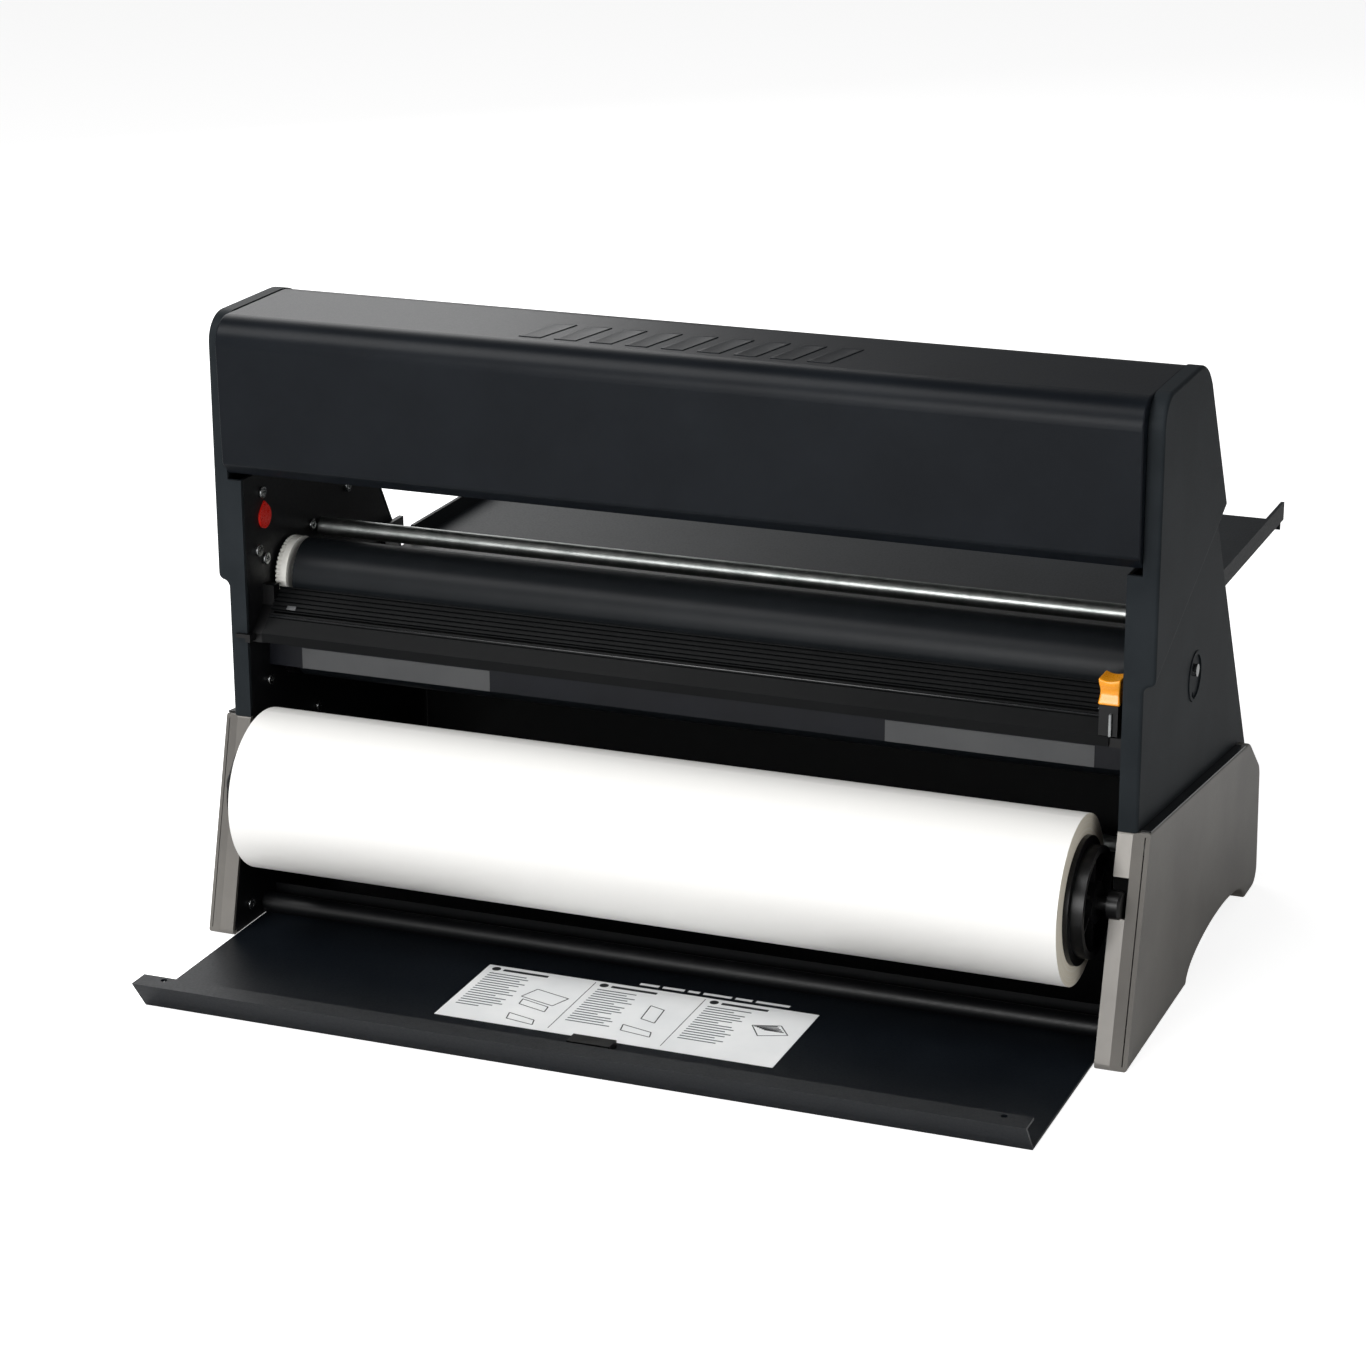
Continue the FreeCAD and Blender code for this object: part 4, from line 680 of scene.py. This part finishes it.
@dataclass
class DoorPrint:
    """Generic printing on the door's label: steps as dots, bars for lines, and small sketches."""

    left: float = -130.0
    section: float = 86.6
    margin: float = 4.0
    front: float = -81.0
    rear: float = 16.0
    top: float = 2.5
    door_top: float = 2.2
    ink: float = 0.05
    pen: float = 0.9
    dot_radius: float = 3.4
    dot_inset: float = 4.0
    dot_drop: float = 6.0
    dot_sides: int = 32
    heading: Point = (10.0, 46.0)
    heading_drop: Point = (8.2, 4.6)
    line_inset: float = 2.0
    first_drop: float = 15.0
    line_pitch: float = 4.2
    line_width: float = 1.5
    lengths: tuple[float, ...] = (
        30.0, 33.0, 28.0, 34.0, 31.0, 25.0, 33.0, 29.0, 34.0, 22.0, 32.0, 30.0, 33.0, 27.0, 18.0,
    )
    length_shift: int = 4
    divider: Point = (-4.2, -3.6)
    divider_ends: Point = (6.0, 3.0)
    sketch_inset: float = 42.0
    sketches: tuple[tuple[Outline, ...], ...] = (
        (
            ((0, -30), (28, -38), (34, -22), (6, -14)),
            ((3, -34), (26, -41), (27, -50), (4, -43)),
            ((4, -60), (26, -66), (28, -74), (6, -70)),
        ),
        (
            ((8, -12), (20, -16), (22, -40), (10, -36)),
            ((2, -50), (26, -56), (28, -64), (4, -60)),
        ),
        (
            ((2, -18), (22, -12), (32, -26), (12, -34)),
        ),
    )
    hatched: int = 2
    hatch_pen: float = 1.4
    hatch_count: int = 5
    hatch_start: Point = (4.0, -19.0)
    hatch_start_step: Point = (2.2, -0.9)
    hatch_end: Point = (20.0, -14.0)
    hatch_end_step: Point = (1.9, -2.1)
    title_start: float = -12.0
    title_depth: float = 21.0
    title_height: float = 3.6
    title_gap: float = 3.0
    title_words: tuple[float, ...] = (15.0, 17.0, 9.0, 22.0, 13.0, 26.0)

    def mark(self, x0: float, x1: float, front: float, rear: float, base: float) -> bpy.types.Object:
        """A thin printed bar on a face at the height base."""
        return block("mark", at(x0, front, base), at(x1, rear, base + self.ink))

    def dot(self, x: float) -> bpy.types.Object:
        """The round dot that starts a step, its section's print beginning at x."""
        deselect()
        bpy.ops.mesh.primitive_cylinder_add(
            vertices=self.dot_sides, radius=mm(self.dot_radius), depth=mm(self.ink),
            location=at(x + self.dot_inset, self.rear - self.dot_drop, self.top + self.ink / 2))
        return settle(bpy.context.object)

    def stroke(self, start: Point, end: Point, width: float) -> bpy.types.Object:
        """A printed line between two (x, depth) points."""
        length, half = math.dist(start, end), width / 2
        piece = block("stroke", Vector((0.0, -mm(half), 0.0)), Vector((mm(length), mm(half), mm(self.ink))))
        turn = math.atan2(end[1] - start[1], end[0] - start[0])
        place = Matrix.Translation(at(start[0], start[1], self.top))
        piece.data.transform(place @ Matrix.Rotation(turn, 4, "Z"))
        return piece

    def sketch(self, x: float, outlines: Sequence[Outline]) -> list[bpy.types.Object]:
        """A small drawing of closed outlines, its left edge at x."""
        drawn = []
        for outline in outlines:
            points = [(x + along, depth) for along, depth in outline]
            drawn += [self.stroke(a, b, self.pen) for a, b in zip(points, [*points[1:], points[0]])]
        return drawn

    def hatching(self, x: float) -> list[bpy.types.Object]:
        """Strokes that shade a drawing whose left edge is at x."""
        drawn = []
        for index in range(self.hatch_count):
            start = [value + index * step for value, step in zip(self.hatch_start, self.hatch_start_step)]
            end = [value + index * step for value, step in zip(self.hatch_end, self.hatch_end_step)]
            drawn.append(self.stroke((x + start[0], start[1]), (x + end[0], end[1]), self.hatch_pen))
        return drawn

    def lines(self, x: float, first: int) -> list[bpy.types.Object]:
        """Bars that stand for a step's lines of text, from x on; first is where their lengths start."""
        drawn = []
        for row in range(len(self.lengths)):
            length = self.lengths[(row + first) % len(self.lengths)]
            depth = self.rear - self.first_drop - row * self.line_pitch
            drawn.append(self.mark(x, x + length, depth, depth + self.line_width, self.top))
        return drawn

    def title(self) -> list[bpy.types.Object]:
        """Dashes in a row on the door, behind the label."""
        drawn = []
        x = self.title_start
        for length in self.title_words:
            drawn.append(self.mark(x, x + length, self.title_depth, self.title_depth + self.title_height,
                                   self.door_top))
            x += length + self.title_gap
        return drawn

    def build(self) -> None:
        """Print the label and the dashes behind it."""
        dark: list[bpy.types.Object] = []
        pale: list[bpy.types.Object] = []
        for index, outlines in enumerate(self.sketches):
            x = self.left + index * self.section + self.margin
            low, high = (self.rear - drop for drop in self.heading_drop)
            dark.append(self.dot(x))
            dark.append(self.mark(x + self.heading[0], x + self.heading[1], low, high, self.top))
            pale += self.lines(x + self.line_inset, index * self.length_shift)
            dark += self.sketch(x + self.sketch_inset, outlines)
            if index:
                low, high = self.front + self.divider_ends[0], self.rear - self.divider_ends[1]
                dark.append(self.mark(x + self.divider[0], x + self.divider[1], low, high, self.top))
            if index == self.hatched:
                dark += self.hatching(x + self.sketch_inset)
        fit(joined(self.title(), "door_title_dashes"), WHITE_VINYL, "door")
        fit(joined(dark, "label_ink_dark"), INK, "door")
        fit(joined(pale, "label_ink_lines"), GREY_INK, "door")


@dataclass
class CrankGrip:
    """Turned grip of the crank, waisted, with grooves for the fingers."""

    depth: float = 268.0
    height: float = 205.7
    start: float = -373.1
    end: float = -432.7
    bore: float = 4.1
    steps: int = 48
    smooth_below: float = 40.0
    profile: tuple[Point, ...] = (
        (0.0, 8.2), (0.6, 9.2), (2.5, 10.2), (8.0, 11.4), (14.0, 11.9), (16.0, 11.2), (18.0, 11.9),
        (24.0, 11.6), (26.0, 10.9), (28.0, 11.6), (34.0, 11.5), (36.0, 10.8), (38.0, 11.6), (46.0, 11.9),
        (54.0, 11.6), (58.0, 9.8), (59.7, 7.2),
    )

    def build(self) -> None:
        """Spin the profile round the grip's pin."""
        deselect()
        bpy.ops.mesh.primitive_plane_add(size=mm(1))
        piece = bpy.context.object
        piece.name = "turned_grip"
        mesh = bmesh.new()
        points = [(self.start, self.bore), *((self.start - along, radius) for along, radius in self.profile),
                  (self.end, self.bore)]
        verts = [mesh.verts.new(at(x, self.depth, self.height + radius)) for x, radius in points]
        for first, second in zip(verts, [*verts[1:], verts[0]]):
            mesh.edges.new((first, second))
        mesh.to_mesh(piece.data)
        mesh.free()
        pick(piece, "VERT", lambda vert: True)
        bpy.ops.mesh.spin(steps=self.steps, angle=math.tau, center=at(0.0, self.depth, self.height),
                          axis=(1.0, 0.0, 0.0))
        bpy.ops.mesh.select_all(action="SELECT")
        bpy.ops.mesh.remove_doubles(threshold=mm(0.01))
        bpy.ops.mesh.normals_make_consistent(inside=False)
        only(piece)
        bpy.ops.object.shade_smooth_by_angle(angle=math.radians(self.smooth_below))
        fit(piece, BLACK_NYLON, "crank_grip", ["crank_grip"])


@dataclass(frozen=True)
class Lamp:
    """A square soft light: where it stands, where it looks, its side in metres and its power in watts."""

    name: str
    spot: tuple[float, float, float]
    aim: tuple[float, float, float]
    size: float
    watts: float

    def build(self) -> None:
        """Add the light."""
        data = bpy.data.lights.new(self.name, "AREA")
        data.size = self.size
        data.energy = self.watts
        lamp = bpy.data.objects.new(self.name, data)
        bpy.context.scene.collection.objects.link(lamp)
        lamp.location = self.spot
        lamp.rotation_euler = (Vector(self.aim) - Vector(self.spot)).to_track_quat("-Z", "Y").to_euler()


@dataclass
class Studio:
    """Pale floor, soft light and the camera."""

    target: tuple[float, float, float] = (0.0319, -0.197, 0.2477)
    distance: float = 2.5819
    azimuth: float = 21.76
    elevation: float = 18.50
    roll: float = -0.25
    lens: float = 96.70
    sensor: float = 36.0
    floor: float = 40.0
    paper: str = "f8f8f8"
    paper_roughness: float = 0.9
    glow: float = 0.75
    surround: float = 0.15
    backdrop: float = 1.0
    lamps: tuple[Lamp, ...] = (
        Lamp("key", (-1.2, -1.6, 2.6), (0.0, 0.0, 0.3), 1.6, 62.0),
        Lamp("front", (-0.5, -3.3, 0.95), (0.0, 0.0, 0.25), 1.3, 52.0),
        Lamp("fill", (2.4, -1.4, 1.3), (0.2, 0.0, 0.2), 1.6, 18.0),
        Lamp("back", (-1.7, 1.9, 1.7), (0.0, 0.2, 0.3), 1.8, 26.0),
    )

    def camera(self) -> None:
        """Set the camera."""
        turn, lift = math.radians(self.azimuth), math.radians(self.elevation)
        back = Vector((math.sin(turn) * math.cos(lift), -math.cos(turn) * math.cos(lift), math.sin(lift)))
        right = Vector((math.cos(turn), math.sin(turn), 0.0))
        up = back.cross(right)
        roll = math.radians(self.roll)
        side = right * math.cos(roll) + up * math.sin(roll)
        top = up * math.cos(roll) - right * math.sin(roll)
        data = bpy.data.cameras.new("camera")
        data.lens = self.lens
        data.sensor_width = self.sensor
        eye = bpy.data.objects.new("camera", data)
        bpy.context.scene.collection.objects.link(eye)
        place = Matrix((side, top, back)).transposed().to_4x4()
        place.translation = Vector(self.target) + back * self.distance
        eye.matrix_world = place
        bpy.context.scene.camera = eye

    def lay_floor(self) -> None:
        """Lay the paper floor, which glows for the camera alone, so that it reads as white."""
        deselect()
        bpy.ops.mesh.primitive_plane_add(size=self.floor, location=(0.0, 0.0, 0.0))
        floor = bpy.context.object
        floor.name = "floor"
        paper = bpy.data.materials.new("studio_paper")
        paper.use_nodes = True
        shader = paper.node_tree.nodes["Principled BSDF"]
        shader.inputs["Base Color"].default_value = linear(self.paper)
        shader.inputs["Roughness"].default_value = self.paper_roughness
        shader.inputs["Emission Color"].default_value = linear("ffffff")
        seen = add(paper.node_tree, "LightPath").outputs["Is Camera Ray"]
        lift = add(paper.node_tree, "Math", {0: seen, 1: self.glow}, operation="MULTIPLY").outputs[0]
        paper.node_tree.links.new(lift, shader.inputs["Emission Strength"])
        floor.data.materials.append(paper)

    def surroundings(self) -> None:
        """Set a world that is white to the camera and dim to everything else."""
        world = bpy.data.worlds.new("studio")
        world.use_nodes = True
        tree = world.node_tree
        tree.nodes.clear()
        seen = add(tree, "LightPath").outputs["Is Camera Ray"]
        strength = add(tree, "MapRange", {"Value": seen, "To Min": self.surround, "To Max": self.backdrop})
        glow = add(tree, "Background", {"Color": (1.0, 1.0, 1.0, 1.0), "Strength": strength.outputs[0]})
        add(tree, "OutputWorld", {"Surface": glow.outputs[0]})
        bpy.context.scene.world = world

    def build(self) -> None:
        """Set the floor, the lights, the world and the camera."""
        self.lay_floor()
        for lamp in self.lamps:
            lamp.build()
        self.surroundings()
        bpy.context.scene.view_settings.view_transform = "Standard"
        self.camera()


def main() -> None:
    """Build the looks in order."""
    CadFrame().dress()
    parts = (HoodBadge(), PlateScrews(), RollerCollars(), CutterKnob(), RailTrim(), DoorPrint(), CrankGrip())
    for part in parts:
        part.build()
        LOG.info("built %s", type(part).__name__)
    Studio().build()


if __name__ == "__main__":
    main()
